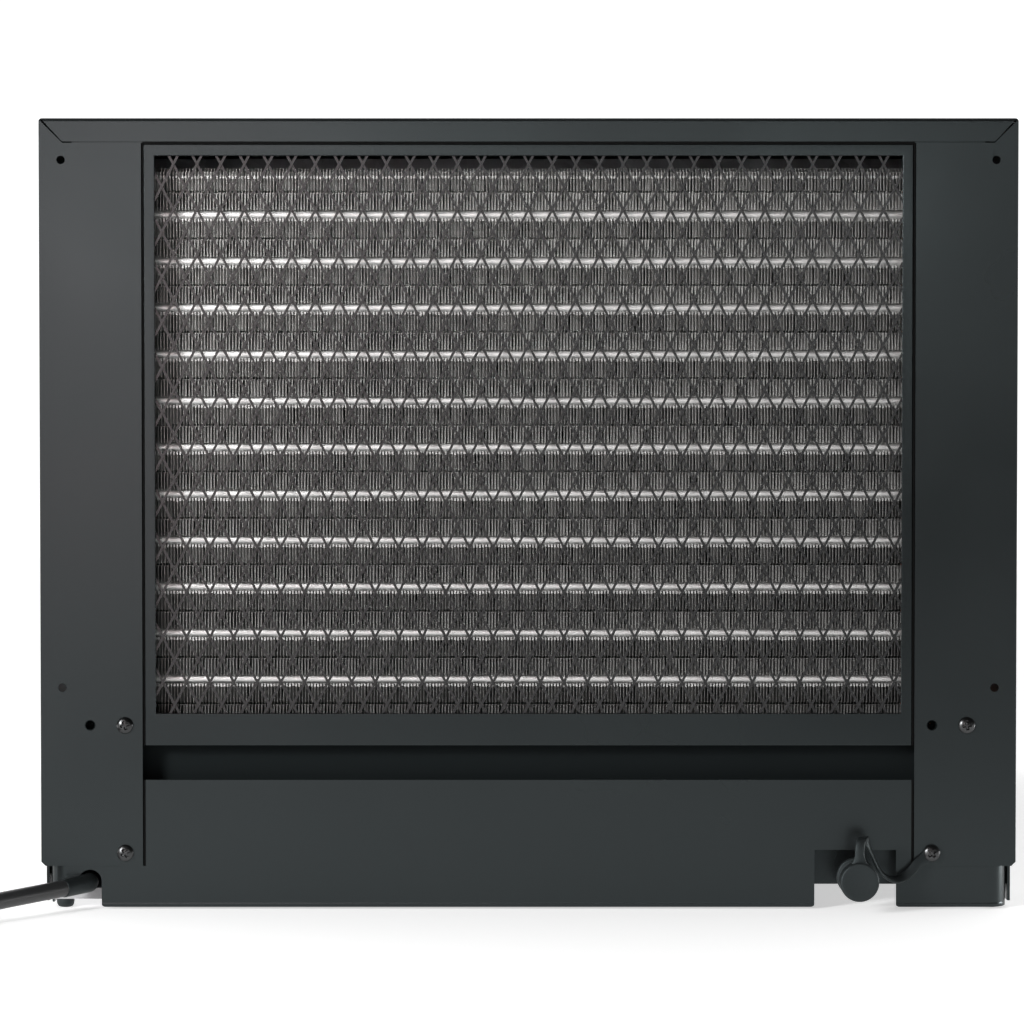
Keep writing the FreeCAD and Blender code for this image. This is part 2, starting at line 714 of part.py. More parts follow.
def bulkhead():
    """Wall between the hot and cold bays, with a shaft hole and a notch for the pipes."""
    y1 = BULKHEAD_Y + PAN_SHEET
    wall = block(-PAN_INNER, PAN_INNER, BULKHEAD_Y, y1, PAN_FLOOR, CEILING - 1)
    wall = wall.cut(rod_y(0, BULKHEAD_Y - 1, y1 + 1, FAN_Z, SHAFT_R + 6))
    low = liquid_z() - 2 * PIPE_R
    high = suction_z() + 2 * PIPE_R
    edge = PIPE_X - 2 * PIPE_R
    return wall.cut(block(edge, PAN_INNER + 1, BULKHEAD_Y - 1, y1 + 1, low, high))


def scroll_outline():
    """Spiral that widens from the cut-off round to the top, and leads into the neck."""
    points = []
    steps = 15
    for step in range(steps + 1):
        share = step / steps
        angle = math.radians(-60 - 300 * share)
        radius = SCROLL_R0 + (SCROLL_R1 - SCROLL_R0) * share
        points.append((radius * math.sin(angle), FAN_Z + radius * math.cos(angle)))
    points.append((NECK_X, FAN_Z + SCROLL_R1))
    points.append((NECK_X, FAN_Z + SCROLL_R0 * 0.5))
    return points


def blower_scroll():
    """Blower housing: spiral wrap and inlet plate, closed by the bulkhead at its back."""
    corners = [Vector(x, SCROLL_Y0, z) for x, z in scroll_outline()]
    face = Part.Face(Part.makePolygon(corners + corners[:1]))
    inner = face.makeOffset2D(-SHEET)
    inner.translate(Vector(0, -1, 0))
    housing = face.extrude(Vector(0, SCROLL_WIDTH, 0))
    housing = housing.cut(inner.extrude(Vector(0, SCROLL_WIDTH + 1 - SHEET, 0)))
    low = FAN_Z + SCROLL_R0 * 0.5 + SHEET
    high = FAN_Z + SCROLL_R1 - SHEET
    mouth = block(NECK_X - 1, NECK_X + 2, SCROLL_Y0 - 1, SCROLL_Y1 - SHEET, low, high)
    housing = housing.cut(mouth)
    return housing.cut(rod_y(0, SCROLL_Y1 - 2, SCROLL_Y1 + 1, FAN_Z, WHEEL_R - WHEEL_RIM))


def blower_wheel():
    """Forward-curved wheel: back plate with a hub and a ring of leaning blades."""
    front = WHEEL_Y0 + WHEEL_PLATE
    back = rod_y(0, WHEEL_Y0, front, FAN_Z, WHEEL_R)
    hub = rod_y(0, front, front + WHEEL_HUB, FAN_Z, WHEEL_HUB_R)
    middle = WHEEL_R - WHEEL_RIM / 2
    reach = WHEEL_RIM / 2 - 0.5
    blades = []
    for number in range(WHEEL_BLADES):
        blade = block(-0.6, 0.6, front, WHEEL_Y1, FAN_Z - reach, FAN_Z + reach)
        blade.rotate(Vector(0, 0, FAN_Z), Vector(0, 1, 0), 35)
        blade.translate(Vector(0, 0, middle))
        blade.rotate(Vector(0, 0, FAN_Z), Vector(0, 1, 0), 360 * number / WHEEL_BLADES)
        blades.append(blade)
    wheel = back.multiFuse([hub] + blades)
    return wheel.cut(rod_y(0, WHEEL_Y0 - 1, front + WHEEL_HUB + 1, FAN_Z, SHAFT_R))


def supply_duct():
    """Side duct that leads cold air from the blower's neck to the front."""
    y1 = inside(PANEL_SHEET)
    x0 = -PAN_INNER + 1
    high = CEILING - 6
    duct = block(x0, NECK_X, SCROLL_Y0, y1, OUTLET_BOTTOM - 4, high)
    duct = duct.cut(
        block(x0 + SHEET, NECK_X - SHEET, SCROLL_Y0 + SHEET, y1 + 1, OUTLET_BOTTOM - 3, high - SHEET)
    )
    low = FAN_Z + SCROLL_R0 * 0.5 + SHEET
    mouth_top = min(FAN_Z + SCROLL_R1, high) - SHEET
    mouth = block(NECK_X - 2, NECK_X + 1, SCROLL_Y0 + SHEET, SCROLL_Y1 - SHEET, low, mouth_top)
    return duct.cut(mouth)


def drip_tray():
    """Shallow tray under the evaporator, on the pan floor."""
    x0 = EVAPORATOR.x0 - PAN_SHEET - 2
    x1 = EVAPORATOR.x1 + PAN_SHEET + 2
    y0 = EVAPORATOR.y0 - TRAY_REACH
    y1 = EVAPORATOR.y1 + TRAY_REACH
    top = PAN_FLOOR + TRAY_HEIGHT
    tray = block(x0, x1, y0, y1, PAN_FLOOR, top)
    return tray.cut(block(x0 + SHEET, x1 - SHEET, y0 + SHEET, y1 - SHEET, PAN_FLOOR + SHEET, top + 1))


def compressor_shell():
    """Hermetic shell with a stepped crown."""
    z0 = COMPRESSOR_Z + 3
    crown = z0 + COMPRESSOR_HEIGHT
    shell = rod_z(COMPRESSOR_X, COMPRESSOR_Y, z0, crown - 12, COMPRESSOR_R)
    return shell.fuse(rod_z(COMPRESSOR_X, COMPRESSOR_Y, crown - 12, crown, COMPRESSOR_R - 8))


def pad_spots():
    """Four points under the corners of the compressor's foot plate."""
    reach = COMPRESSOR_R - PAD_SIDE / 2
    spots = []
    for side in (-1, 1):
        for end in (-1, 1):
            spots.append((COMPRESSOR_X + side * reach, COMPRESSOR_Y + end * reach))
    return spots


def compressor_plate():
    """Square foot plate under the shell."""
    x0 = COMPRESSOR_X - COMPRESSOR_R
    y0 = COMPRESSOR_Y - COMPRESSOR_R
    side = 2 * COMPRESSOR_R
    return block(x0, x0 + side, y0, y0 + side, COMPRESSOR_Z, COMPRESSOR_Z + 3)


def compressor_pads():
    """Rubber isolators between the foot plate and the pan."""
    half = PAD_SIDE / 2
    return Part.makeCompound(
        [block(x - half, x + half, y - half, y + half, PAN_FLOOR, COMPRESSOR_Z) for x, y in pad_spots()]
    )


def terminal_cover():
    """Cap over the terminals on top of the shell."""
    z0 = COMPRESSOR_Z + 3 + COMPRESSOR_HEIGHT
    x = COMPRESSOR_X - 14
    return block(x - 16, x + 16, COMPRESSOR_Y - 14, COMPRESSOR_Y + 14, z0, z0 + 18)


def accumulator_spot():
    """X and Y of the suction accumulator beside the shell."""
    return COMPRESSOR_X, COMPRESSOR_Y + COMPRESSOR_R + ACCUMULATOR_R + 4


def accumulator_top():
    """Z of the top of the accumulator, below the suction line that enters it."""
    return min(COMPRESSOR_Z + COMPRESSOR_HEIGHT * 0.7, suction_z() - 15)


def accumulator():
    """Suction accumulator with the saddle that joins it to the shell."""
    x, y = accumulator_spot()
    z1 = accumulator_top()
    z0 = COMPRESSOR_Z + 20
    bottle = rod_z(x, y, z0, z1, ACCUMULATOR_R)
    middle = (z0 + z1) / 2
    saddle = block(x - 8, x + 8, COMPRESSOR_Y, y, middle - 12, middle + 12)
    saddle = saddle.cut(rod_z(COMPRESSOR_X, COMPRESSOR_Y, z0, z1, COMPRESSOR_R))
    return bottle.fuse(saddle)


def suction_z():
    """Height of the suction line, level with the evaporator's top tube."""
    return EVAPORATOR.tube_z(0, EVAPORATOR.tubes - 1)


def discharge_pipe():
    """Hot-gas line from the shell to the top of the condenser's last row."""
    start = Vector(COMPRESSOR_X + COMPRESSOR_R / 2, COMPRESSOR_Y, COMPRESSOR_Z + 3 + COMPRESSOR_HEIGHT)
    last = CONDENSER.rows - 1
    y = CONDENSER.tube_y(last)
    z = CONDENSER.tube_z(last, CONDENSER.tubes - 1)
    return bent_tube(
        [
            start,
            Vector(start.x, start.y, z),
            Vector(PIPE_X, start.y, z),
            Vector(PIPE_X, y, z),
            Vector(CONDENSER.stub_x, y, z),
        ],
        PIPE_R,
    )


def suction_pipe():
    """Cold-gas line from the evaporator's top tube to the accumulator."""
    x, y = accumulator_spot()
    z = suction_z()
    coil_y = EVAPORATOR.tube_y(0)
    return bent_tube(
        [
            Vector(x, y, accumulator_top()),
            Vector(x, y, z),
            Vector(PIPE_X, y, z),
            Vector(PIPE_X, coil_y, z),
            Vector(EVAPORATOR.stub_x, coil_y, z),
        ],
        PIPE_R,
    )


def liquid_line():
    """Liquid line from the top of the condenser's first row, down and along to the evaporator."""
    y = CONDENSER.tube_y(0)
    top = CONDENSER.tube_z(0, CONDENSER.tubes - 1)
    level = liquid_z()
    coil_y = EVAPORATOR.tube_y(0)
    low = EVAPORATOR.tube_z(0, 0)
    return bent_tube(
        [
            Vector(CONDENSER.stub_x, y, top),
            Vector(PIPE_X, y, top),
            Vector(PIPE_X, y, level),
            Vector(PIPE_X, coil_y, level),
            Vector(PIPE_X, coil_y, low),
            Vector(EVAPORATOR.stub_x, coil_y, low),
        ],
        CAPILLARY_R,
    )


def liquid_z():
    """Height of the liquid line where it runs along the cabinet."""
    return CONDENSER.tube_z(0, 0)


def drain_cap():
    """Rubber cap: sleeve over the spout, a ring at its mouth and a grip disc at its end."""
    face = behind(-CAP_REACH)
    disc = face + CAP_DISC
    mouth = behind(-CAP_CLEAR)
    ring = mouth - CAP_RING
    bore = SPOUT_R + RUNNING_FIT
    floor = behind(-SPOUT_REACH - CAP_CLEAR)
    profile = [
        (0, face),
        (CAP_R, face),
        (CAP_R, disc),
        (CAP_NECK_R, disc),
        (CAP_NECK_R, ring),
        (CAP_R, ring),
        (CAP_R, mouth),
        (bore, mouth),
        (bore, floor),
        (0, floor),
    ]
    return turned(profile, DRAIN_X, DRAIN_Z)


def tether_line():
    """Middle line of the tether in X and Z, from the cap's ring to its screw."""
    span = SCREW_INNER - DRAIN_X
    root = DRAIN_Z + CAP_R + CAP_CLEAR
    low = DRAIN_Z - 2
    return [
        (DRAIN_X, root),
        (DRAIN_X, root + TETHER_RISE),
        (DRAIN_X + 0.28 * span, root + TETHER_RISE),
        (DRAIN_X + 0.45 * span, low),
        (DRAIN_X + 0.75 * span, low),
        (SCREW_INNER, LOWER_Z),
    ]


def drain_tether():
    """Moulded strap: a band on edge that hangs beside the cap and ends in a tab on the flange."""
    y0 = behind(-TETHER_WIDTH - CAP_CLEAR)
    line = tether_line()
    pieces = []
    for (x0, z0), (x1, z1) in zip(line, line[1:]):
        length = math.hypot(x1 - x0, z1 - z0)
        along = ((x1 - x0) / length * TETHER_THICK / 2, (z1 - z0) / length * TETHER_THICK / 2)
        across = (-along[1], along[0])
        corners = [
            (x0 - across[0], z0 - across[1]),
            (x1 - across[0] + along[0], z1 - across[1] + along[1]),
            (x1 + across[0] + along[0], z1 + across[1] + along[1]),
            (x0 + across[0], z0 + across[1]),
        ]
        pieces.append(plate(corners, y0, y0 + TETHER_WIDTH))
    half = TETHER_TAB / 2
    tab = block(SCREW_INNER - half, SCREW_INNER + half, y0, REAR_Y, LOWER_Z - half, LOWER_Z + half)
    return tab.multiFuse(pieces).removeSplitter()


def front_panel():
    """Rack panel with ears, openings for outlet, intake and controls, and ear slots."""
    half = PANEL_WIDTH / 2
    y0 = inside(PANEL_SHEET)
    panel = block(-half, half, y0, FRONT_Y, PANEL_BOTTOM, TOP)
    openings = [
        (OUTLET_X0, OUTLET_X1, OUTLET_BOTTOM, OUTLET_TOP),
        (INTAKE_X0, INTAKE_X1, INTAKE_BOTTOM, INTAKE_TOP),
        (CONTROL_X0 + 6, CONTROL_X1 - 6, CONTROL_Z0 + 6, CONTROL_Z1 - 6),
    ]
    for x0, x1, z0, z1 in openings:
        panel = panel.cut(block(x0, x1, y0 - 1, FRONT_Y + 1, z0, z1))
    middle = TOP / 2
    for side in (-1, 1):
        for z in (middle - EAR_RISE / 2, middle + EAR_RISE / 2):
            x0 = side * (half - EAR_SLOT_EDGE) - EAR_SLOT_TRAVEL / 2
            x1 = x0 + EAR_SLOT_TRAVEL
            slot = block(x0, x1, y0 - 1, FRONT_Y + 1, z - EAR_SLOT_R, z + EAR_SLOT_R)
            ends = [rod_y(x, y0 - 1, FRONT_Y + 1, z, EAR_SLOT_R) for x in (x0, x1)]
            panel = panel.cut(slot.multiFuse(ends).removeSplitter())
    return panel


def outlet_louvres():
    """Outlet insert: a frame with slanted vanes."""
    y0 = inside(BEZEL_DEPTH)
    y1 = inside(-BEZEL_PROUD)
    insert = frame_ring(OUTLET_X0, OUTLET_X1, y0, y1, OUTLET_BOTTOM, OUTLET_TOP, 3)
    count = int((OUTLET_TOP - OUTLET_BOTTOM - LOUVRE_PITCH) / LOUVRE_PITCH)
    first = (OUTLET_TOP + OUTLET_BOTTOM - (count - 1) * LOUVRE_PITCH) / 2
    vanes = []
    for number in range(count):
        z = first + number * LOUVRE_PITCH
        corners = [
            Vector(OUTLET_X0 + 2, y0 + 1, z + 2),
            Vector(OUTLET_X0 + 2, y0 + 1, z + 4),
            Vector(OUTLET_X0 + 2, y1 - 1, z - 3),
            Vector(OUTLET_X0 + 2, y1 - 1, z - 5),
        ]
        side = Part.Face(Part.makePolygon(corners + corners[:1]))
        vanes.append(side.extrude(Vector(OUTLET_WIDTH - 4, 0, 0)))
    return insert.multiFuse(vanes).removeSplitter()


def intake_bezel():
    """Moulded frame round the intake, with bores for the door's hinge pins."""
    y0 = inside(BEZEL_DEPTH)
    y1 = inside(-BEZEL_PROUD)
    sleeve = frame_ring(INTAKE_X0, INTAKE_X1, y0, y1, INTAKE_BOTTOM, INTAKE_TOP, BEZEL)
    brim = frame_ring(
        INTAKE_X0 - 3, INTAKE_X1 + 3, FRONT_Y, y1, INTAKE_BOTTOM - 3, INTAKE_TOP + 3, BEZEL + 3
    )
    frame = sleeve.fuse(brim).removeSplitter()
    return frame.cut(
        rod_x(INTAKE_X0 + 1, INTAKE_X1 - 1, HINGE_Y, HINGE_Z, DOOR_PIN_R + RUNNING_FIT)
    )


def intake_door():
    """Bottom-hinged intake grille: frame, cross bars and two hinge pins."""
    x0 = INTAKE_X0 + BEZEL + DOOR_GAP
    x1 = INTAKE_X1 - BEZEL - DOOR_GAP
    z0 = HINGE_Z
    z1 = INTAKE_TOP - BEZEL - DOOR_GAP
    y0 = inside(DOOR)
    door = block(x0, x1, y0, FRONT_Y, z0, z1)
    door = door.fuse(rod_x(x0, x1, HINGE_Y, HINGE_Z, DOOR / 2))
    count = int((z1 - z0 - 2 * DOOR) / DOOR_BAR_PITCH)
    first = (z0 + z1 - count * DOOR_BAR_PITCH) / 2
    border = 9
    for number in range(count):
        z = first + number * DOOR_BAR_PITCH
        gap = block(x0 + border, x1 - border, y0 - 1, FRONT_Y + 1, z + 2, z + DOOR_BAR_PITCH - 2)
        door = door.cut(gap)
    pins = rod_x(x0 - BEZEL + 1, x1 + BEZEL - 1, HINGE_Y, HINGE_Z, DOOR_PIN_R)
    return door.fuse(pins).removeSplitter()


def air_filter():
    """Filter pad clipped to the back of the intake door."""
    x0 = INTAKE_X0 + BEZEL + 6
    x1 = INTAKE_X1 - BEZEL - 6
    z0 = HINGE_Z + 6
    z1 = INTAKE_TOP - BEZEL - 6
    return block(x0, x1, inside(DOOR + FILTER), inside(DOOR), z0, z1)


def button_spots():
    """X and Z of each button in the row under the display."""
    middle = (CONTROL_X0 + CONTROL_X1) / 2
    z = CONTROL_Z0 + 20
    return [(middle + BUTTON_PITCH * place, z) for place in (-1.5, -0.5, 0.5, 1.5)]


def display_area():
    """X and Z limits of the display window."""
    middle = (CONTROL_X0 + CONTROL_X1) / 2
    return middle - 34, middle + 34, CONTROL_Z1 - 34, CONTROL_Z1 - 10


def control_fascia():
    """Fascia over the control opening, with holes for the buttons and the display."""
    y1 = inside(-FASCIA)
    fascia = block(CONTROL_X0, CONTROL_X1, FRONT_Y, y1, CONTROL_Z0, CONTROL_Z1)
    x0, x1, z0, z1 = display_area()
    fascia = fascia.cut(block(x0, x1, FRONT_Y - 1, y1 + 1, z0, z1))
    wide = BUTTON_WIDE / 2 + BUTTON_CLEAR
    tall = BUTTON_TALL / 2 + BUTTON_CLEAR
    for x, z in button_spots():
        fascia = fascia.cut(block(x - wide, x + wide, FRONT_Y - 1, y1 + 1, z - tall, z + tall))
    return fascia


def display_window():
    """Flat lens that fills the display opening."""
    x0, x1, z0, z1 = display_area()
    return block(x0, x1, FRONT_Y, inside(-FASCIA + 0.5), z0, z1)


def button(place):
    """Push button with a flange that keeps it behind the fascia."""
    x, z = button_spots()[place]
    wide = BUTTON_WIDE / 2
    tall = BUTTON_TALL / 2
    lip = inside(BUTTON_CLEAR)
    key = block(x - wide, x + wide, lip, inside(-FRONT_REACH), z - tall, z + tall)
    wide += 1.5
    tall += 1.5
    return key.fuse(block(x - wide, x + wide, inside(3), lip, z - tall, z + tall))


def control_box_limits():
    """Outer limits of the box behind the controls."""
    x1 = min(CONTROL_X1 + 6, PAN_INNER - 1)
    return CONTROL_X0 - 6, x1, CONTROL_Z0 - 6, min(CONTROL_Z1 + 6, CEILING - 2)


def control_box():
    """Electrical box on the back of the panel, open to the fascia."""
    x0, x1, z0, z1 = control_box_limits()
    y1 = inside(PANEL_SHEET)
    y0 = y1 - CONTROL_DEPTH
    box = block(x0, x1, y0, y1, z0, z1)
    return box.cut(block(x0 + SHEET, x1 - SHEET, y0 + SHEET, y1 + 1, z0 + SHEET, z1 - SHEET))


def control_board():
    """Circuit board that stands on the floor of the box."""
    x0, x1, z0, z1 = control_box_limits()
    y = inside(PANEL_SHEET + 30)
    return block(x0 + 4, x1 - 4, y, y + 1.6, z0 + SHEET, z1 - 8)


def run_capacitor():
    """Motor run capacitor that stands on the floor of the box."""
    x0, x1, z0, z1 = control_box_limits()
    x = x0 + CAPACITOR_INSET
    y = inside(PANEL_SHEET) - CONTROL_DEPTH + CAPACITOR_INSET
    z = z0 + SHEET
    return block(x, x + CAPACITOR_WIDE, y, y + CAPACITOR_DEEP, z, z + CAPACITOR_TALL)


def cord_heading():
    """Direction of the cord, off to the left and down to the floor at the coil."""
    fall = (cord_root().z - CORD_R) / (BOOT_LENGTH + CORD_RUN)
    return Vector(-0.62, -0.78, -fall).normalize()


def cord_root():
    """Middle of the cord in the apron's hole, where it lies a little low and to the side."""
    return Vector(CORD_X - CORD_SAG, behind(SHEET), CORD_Z - CORD_SAG)


def cord_boot():
    """Neck through the apron's hole, with a tapered sleeve bent towards the cord's run."""
    root = cord_root()
    wide = CORD_R + BOOT_WALL
    sleeve = Part.makeCone(wide, CORD_R + BOOT_TIP_WALL, BOOT_LENGTH, root, cord_heading())
    sleeve = sleeve.common(block(-HALF, 0, behind(-3 * BOOT_LENGTH), behind(SHEET), 0, TOP))
    return sleeve.fuse(rod_y(root.x, behind(SHEET), behind(SHEET + BOOT_NECK), root.z, wide))


def coil_centre():
    """Middle of the coil of spare cord on the floor, whose outer turn the cord meets."""
    heading = cord_heading()
    touch = cord_root() + heading * (BOOT_LENGTH + CORD_RUN)
    aside = Vector(heading.y, -heading.x, 0).normalize() * coil_outer()
    return Vector(touch.x + aside.x, touch.y + aside.y, 0)


def coil_outer():
    """Radius of the middle of the coil's outer turn."""
    return COIL_MEAN_R + (CORD_TURNS_WIDE - 1) * CORD_R


def cord_route():
    """Ends of the cord's straight run from its boot to the outer turn of the coil."""
    heading = cord_heading()
    start = cord_root() + heading * BOOT_LENGTH
    return start, start + heading * CORD_RUN


def tail_route():
    """Ends of the cord's last run, from the coil's top turn down to the plug on the floor."""
    centre = coil_centre()
    x = centre.x - coil_outer()
    top = (2 * CORD_TURNS_HIGH - 1) * CORD_R
    return Vector(x, centre.y, top), Vector(x, centre.y + TAIL_RUN, PLUG_THICK / 2)


def cord_tube(ends):
    """Straight run of cord between two points."""
    start, end = ends
    return Part.makeCylinder(CORD_R, (end - start).Length, start, end - start)


def power_cord_coil():
    """Outer shape of the spare cord's coil."""
    reach = CORD_TURNS_WIDE * CORD_R
    centre = coil_centre()
    high = 2 * CORD_TURNS_HIGH * CORD_R
    ring = rod_z(centre.x, centre.y, 0, high, COIL_MEAN_R + reach)
    return ring.cut(rod_z(centre.x, centre.y, -1, high + 1, COIL_MEAN_R - reach))


def plug_frame():
    """Point where the cord enters the plug, and the length of the plug's head."""
    end = tail_route()[-1]
    return Vector(end.x, end.y - PLUG_GRIP, end.z), PLUG_LENGTH


def plug_body():
    """Moulded plug with a neck, lying on the floor."""
    root, length = plug_frame()
    y0 = root.y + PLUG_NECK
    half = PLUG_WIDTH / 2
    head = block(root.x - half, root.x + half, y0, y0 + length, 0, 2 * root.z)
    sides = [e for e in head.Edges if abs(e.Vertexes[0].Y - e.Vertexes[1].Y) > 1]
    head = head.makeFillet(4, sides)
    half = CORD_R + 1.5
    return head.fuse(block(root.x - half, root.x + half, root.y, y0, root.z - half, root.z + half))


def plug_pins():
    """Two flat blades and a round earth pin."""
    root, length = plug_frame()
    y0 = root.y + PLUG_NECK + length
    pins = [rod_y(root.x, y0, y0 + EARTH_PIN_LENGTH, root.z - 2 * EARTH_PIN_R, EARTH_PIN_R)]
    for side in (-1, 1):
        x = root.x + side * BLADE_SPACING / 2
        z = root.z - EARTH_PIN_R / 2
        half = BLADE_THICK / 2
        pins.append(block(x - half, x + half, y0, y0 + BLADE_LENGTH, z, z + BLADE_WIDTH))
    return Part.makeCompound(pins)


PIECES = {
    "base_pan": base_pan(),
    "skid_rails": skid_rails(),
    "feet": feet(),
    "rear_apron": rear_apron(),
    "outer_cover": outer_cover(),
    "grille_panel": grille_panel(),
    "mesh_guard": mesh_guard(),
    "coil_sill": coil_sill(),
    "condenser_fins": CONDENSER.fins(),
    "condenser_tubes": CONDENSER.circuit(),
    "condenser_end_sheets": CONDENSER.end_sheets(),
    "condenser_shroud": condenser_shroud(),
    "condenser_fan": condenser_fan(),
    "fan_shaft": fan_shaft(),
    "fan_motor": fan_motor(),
    "motor_pedestal": motor_pedestal(),
    "bulkhead": bulkhead(),
    "blower_scroll": blower_scroll(),
    "blower_wheel": blower_wheel(),
    "supply_duct": supply_duct(),
    "evaporator_fins": EVAPORATOR.fins(),
    "evaporator_tubes": EVAPORATOR.circuit(),
    "evaporator_end_sheets": EVAPORATOR.end_sheets(),
    "drip_tray": drip_tray(),
    "compressor_shell": compressor_shell(),
    "compressor_plate": compressor_plate(),
    "compressor_pads": compressor_pads(),
    "terminal_cover": terminal_cover(),
    "accumulator": accumulator(),
    "discharge_pipe": discharge_pipe(),
    "suction_pipe": suction_pipe(),
    "liquid_line": liquid_line(),
    "drain_cap": drain_cap(),
    "drain_tether": drain_tether(),
    "front_panel": front_panel(),
    "outlet_louvres": outlet_louvres(),
    "intake_bezel": intake_bezel(),
    "intake_door": intake_door(),
    "air_filter": air_filter(),
    "control_fascia": control_fascia(),
    "display_window": display_window(),
    "button_power": button(0),
    "button_mode": button(1),
    "button_cooler": button(2),
    "button_warmer": button(3),
    "control_box": control_box(),
    "control_board": control_board(),
    "run_capacitor": run_capacitor(),
    "cord_boot": cord_boot(),
    "power_cord": cord_tube(cord_route()),
    "power_cord_coil": power_cord_coil(),
    "power_cord_tail": cord_tube(tail_route()),
    "plug_body": plug_body(),
    "plug_pins": plug_pins(),
}

os.makedirs("parts", exist_ok=True)
for name, shape in PIECES.items():
    shape.exportStep("parts/" + name + ".step")
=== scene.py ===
import math
from random import Random

import bpy
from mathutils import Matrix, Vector


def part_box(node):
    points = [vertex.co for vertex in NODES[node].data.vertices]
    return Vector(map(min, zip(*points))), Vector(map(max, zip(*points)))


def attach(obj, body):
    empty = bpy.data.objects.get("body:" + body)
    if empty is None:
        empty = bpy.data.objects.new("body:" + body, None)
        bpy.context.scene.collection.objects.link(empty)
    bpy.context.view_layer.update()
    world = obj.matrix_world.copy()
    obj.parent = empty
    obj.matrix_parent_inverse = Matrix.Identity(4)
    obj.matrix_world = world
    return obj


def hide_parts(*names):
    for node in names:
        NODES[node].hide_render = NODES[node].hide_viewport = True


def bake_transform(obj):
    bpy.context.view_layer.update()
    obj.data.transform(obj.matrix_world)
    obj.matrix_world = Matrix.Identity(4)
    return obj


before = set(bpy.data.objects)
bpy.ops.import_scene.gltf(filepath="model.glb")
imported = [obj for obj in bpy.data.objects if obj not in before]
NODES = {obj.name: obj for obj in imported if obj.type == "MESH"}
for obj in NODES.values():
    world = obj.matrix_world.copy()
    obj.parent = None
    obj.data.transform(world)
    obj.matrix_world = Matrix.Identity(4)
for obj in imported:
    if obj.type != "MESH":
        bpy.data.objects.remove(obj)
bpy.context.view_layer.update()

MM = 0.001


# Materials

WHITE = (1, 1, 1)
COOL = (0.84, 1.0, 1.03)
FINE_SHARE = 0.35
FINE_DETAIL = 2.0
BROAD_DETAIL = 4.0
GLOSS_DRIFT = 0.04
ZINC_GRAIN = 40.0
ZINC_SHARE = 0.4
ZINC_DRIFT = 0.1
ZINC_METAL = 0.8
FOAM_ROUGH = 0.9


def new_material(name):
    """New material, its node tree, its shader and its object coordinates."""
    material = bpy.data.materials.new(name)
    material.use_nodes = True
    tree = material.node_tree
    shader = tree.nodes["Principled BSDF"]
    place = tree.nodes.new("ShaderNodeTexCoord").outputs["Object"]
    return material, tree, shader, place


def noise(tree, place, scale, detail=3.0):
    """Noise value with features of about 1/scale metres."""
    node = tree.nodes.new("ShaderNodeTexNoise")
    node.inputs["Scale"].default_value = scale
    node.inputs["Detail"].default_value = detail
    tree.links.new(place, node.inputs["Vector"])
    return node.outputs["Fac"]


def cells(tree, place, scale):
    """Node that splits space into cells of about 1/scale metres."""
    node = tree.nodes.new("ShaderNodeTexVoronoi")
    node.inputs["Scale"].default_value = scale
    tree.links.new(place, node.inputs["Vector"])
    return node


def part_of(tree, vector, axis):
    """One coordinate of a vector."""
    node = tree.nodes.new("ShaderNodeSeparateXYZ")
    tree.links.new(vector, node.inputs["Vector"])
    return node.outputs[axis]


def ramp(tree, value, low, high, start=0.3, end=0.7):
    """Colour that runs from low to high as the value runs from start to end."""
    node = tree.nodes.new("ShaderNodeValToRGB")
    node.color_ramp.elements[0].position = start
    node.color_ramp.elements[0].color = (*low, 1)
    node.color_ramp.elements[1].position = end
    node.color_ramp.elements[1].color = (*high, 1)
    tree.links.new(value, node.inputs["Fac"])
    return node.outputs["Color"]


def remap(tree, value, low, high, start=0.3, end=0.7):
    """Number that runs from low to high as the value runs from start to end."""
    node = tree.nodes.new("ShaderNodeMapRange")
    node.inputs["From Min"].default_value = start
    node.inputs["From Max"].default_value = end
    node.inputs["To Min"].default_value = low
    node.inputs["To Max"].default_value = high
    tree.links.new(value, node.inputs["Value"])
    return node.outputs["Result"]


def mixed(tree, first, second, share):
    """Weighted sum of two values."""
    node = tree.nodes.new("ShaderNodeMix")
    node.inputs["Factor"].default_value = share
    tree.links.new(first, node.inputs["A"])
    tree.links.new(second, node.inputs["B"])
    return node.outputs["Result"]


def relief(tree, shader, height, depth):
    """Bump of a given depth in metres."""
    node = tree.nodes.new("ShaderNodeBump")
    node.inputs["Distance"].default_value = depth
    tree.links.new(height, node.inputs["Height"])
    tree.links.new(node.outputs["Normal"], shader.inputs["Normal"])


def shaded_towards_foot(tree, place, colour, dim, low, high):
    """Colour darkened towards its foot by painted shade, where the light falls off lower down."""
    height = remap(tree, part_of(tree, place, "Z"), 0.0, 1.0, low, high)
    shade = ramp(tree, height, (dim, dim, dim), WHITE, 0.0, 1.0)
    node = tree.nodes.new("ShaderNodeMix")
    node.data_type = "RGBA"
    node.blend_type = "MULTIPLY"
    node.inputs["Factor"].default_value = 1.0
    tree.links.new(colour, node.inputs["A"])
    tree.links.new(shade, node.inputs["B"])
    return node.outputs["Result"]


def coated(
    name, low, high, rough, grain, depth, metal=0.0, spec=0.5, patch=9.0, foot_shade=None, tint=WHITE
):
    """Finish whose tone and gloss drift in broad patches, with a fine grain in tone and relief."""
    material, tree, shader, place = new_material(name)
    fine = noise(tree, place, grain, FINE_DETAIL)
    broad = noise(tree, place, patch, BROAD_DETAIL)
    colour = ramp(tree, mixed(tree, broad, fine, FINE_SHARE), low, high)
    # Painted shade: the colour darkens towards the foot, where the light falls off
    if foot_shade:
        colour = shaded_towards_foot(tree, place, colour, *foot_shade)
    gloss = remap(tree, broad, rough - GLOSS_DRIFT, rough + GLOSS_DRIFT)
    tree.links.new(colour, shader.inputs["Base Color"])
    tree.links.new(gloss, shader.inputs["Roughness"])
    relief(tree, shader, fine, depth)
    shader.inputs["Metallic"].default_value = metal
    shader.inputs["Specular IOR Level"].default_value = spec
    shader.inputs["Specular Tint"].default_value = (*tint, 1)
    return material


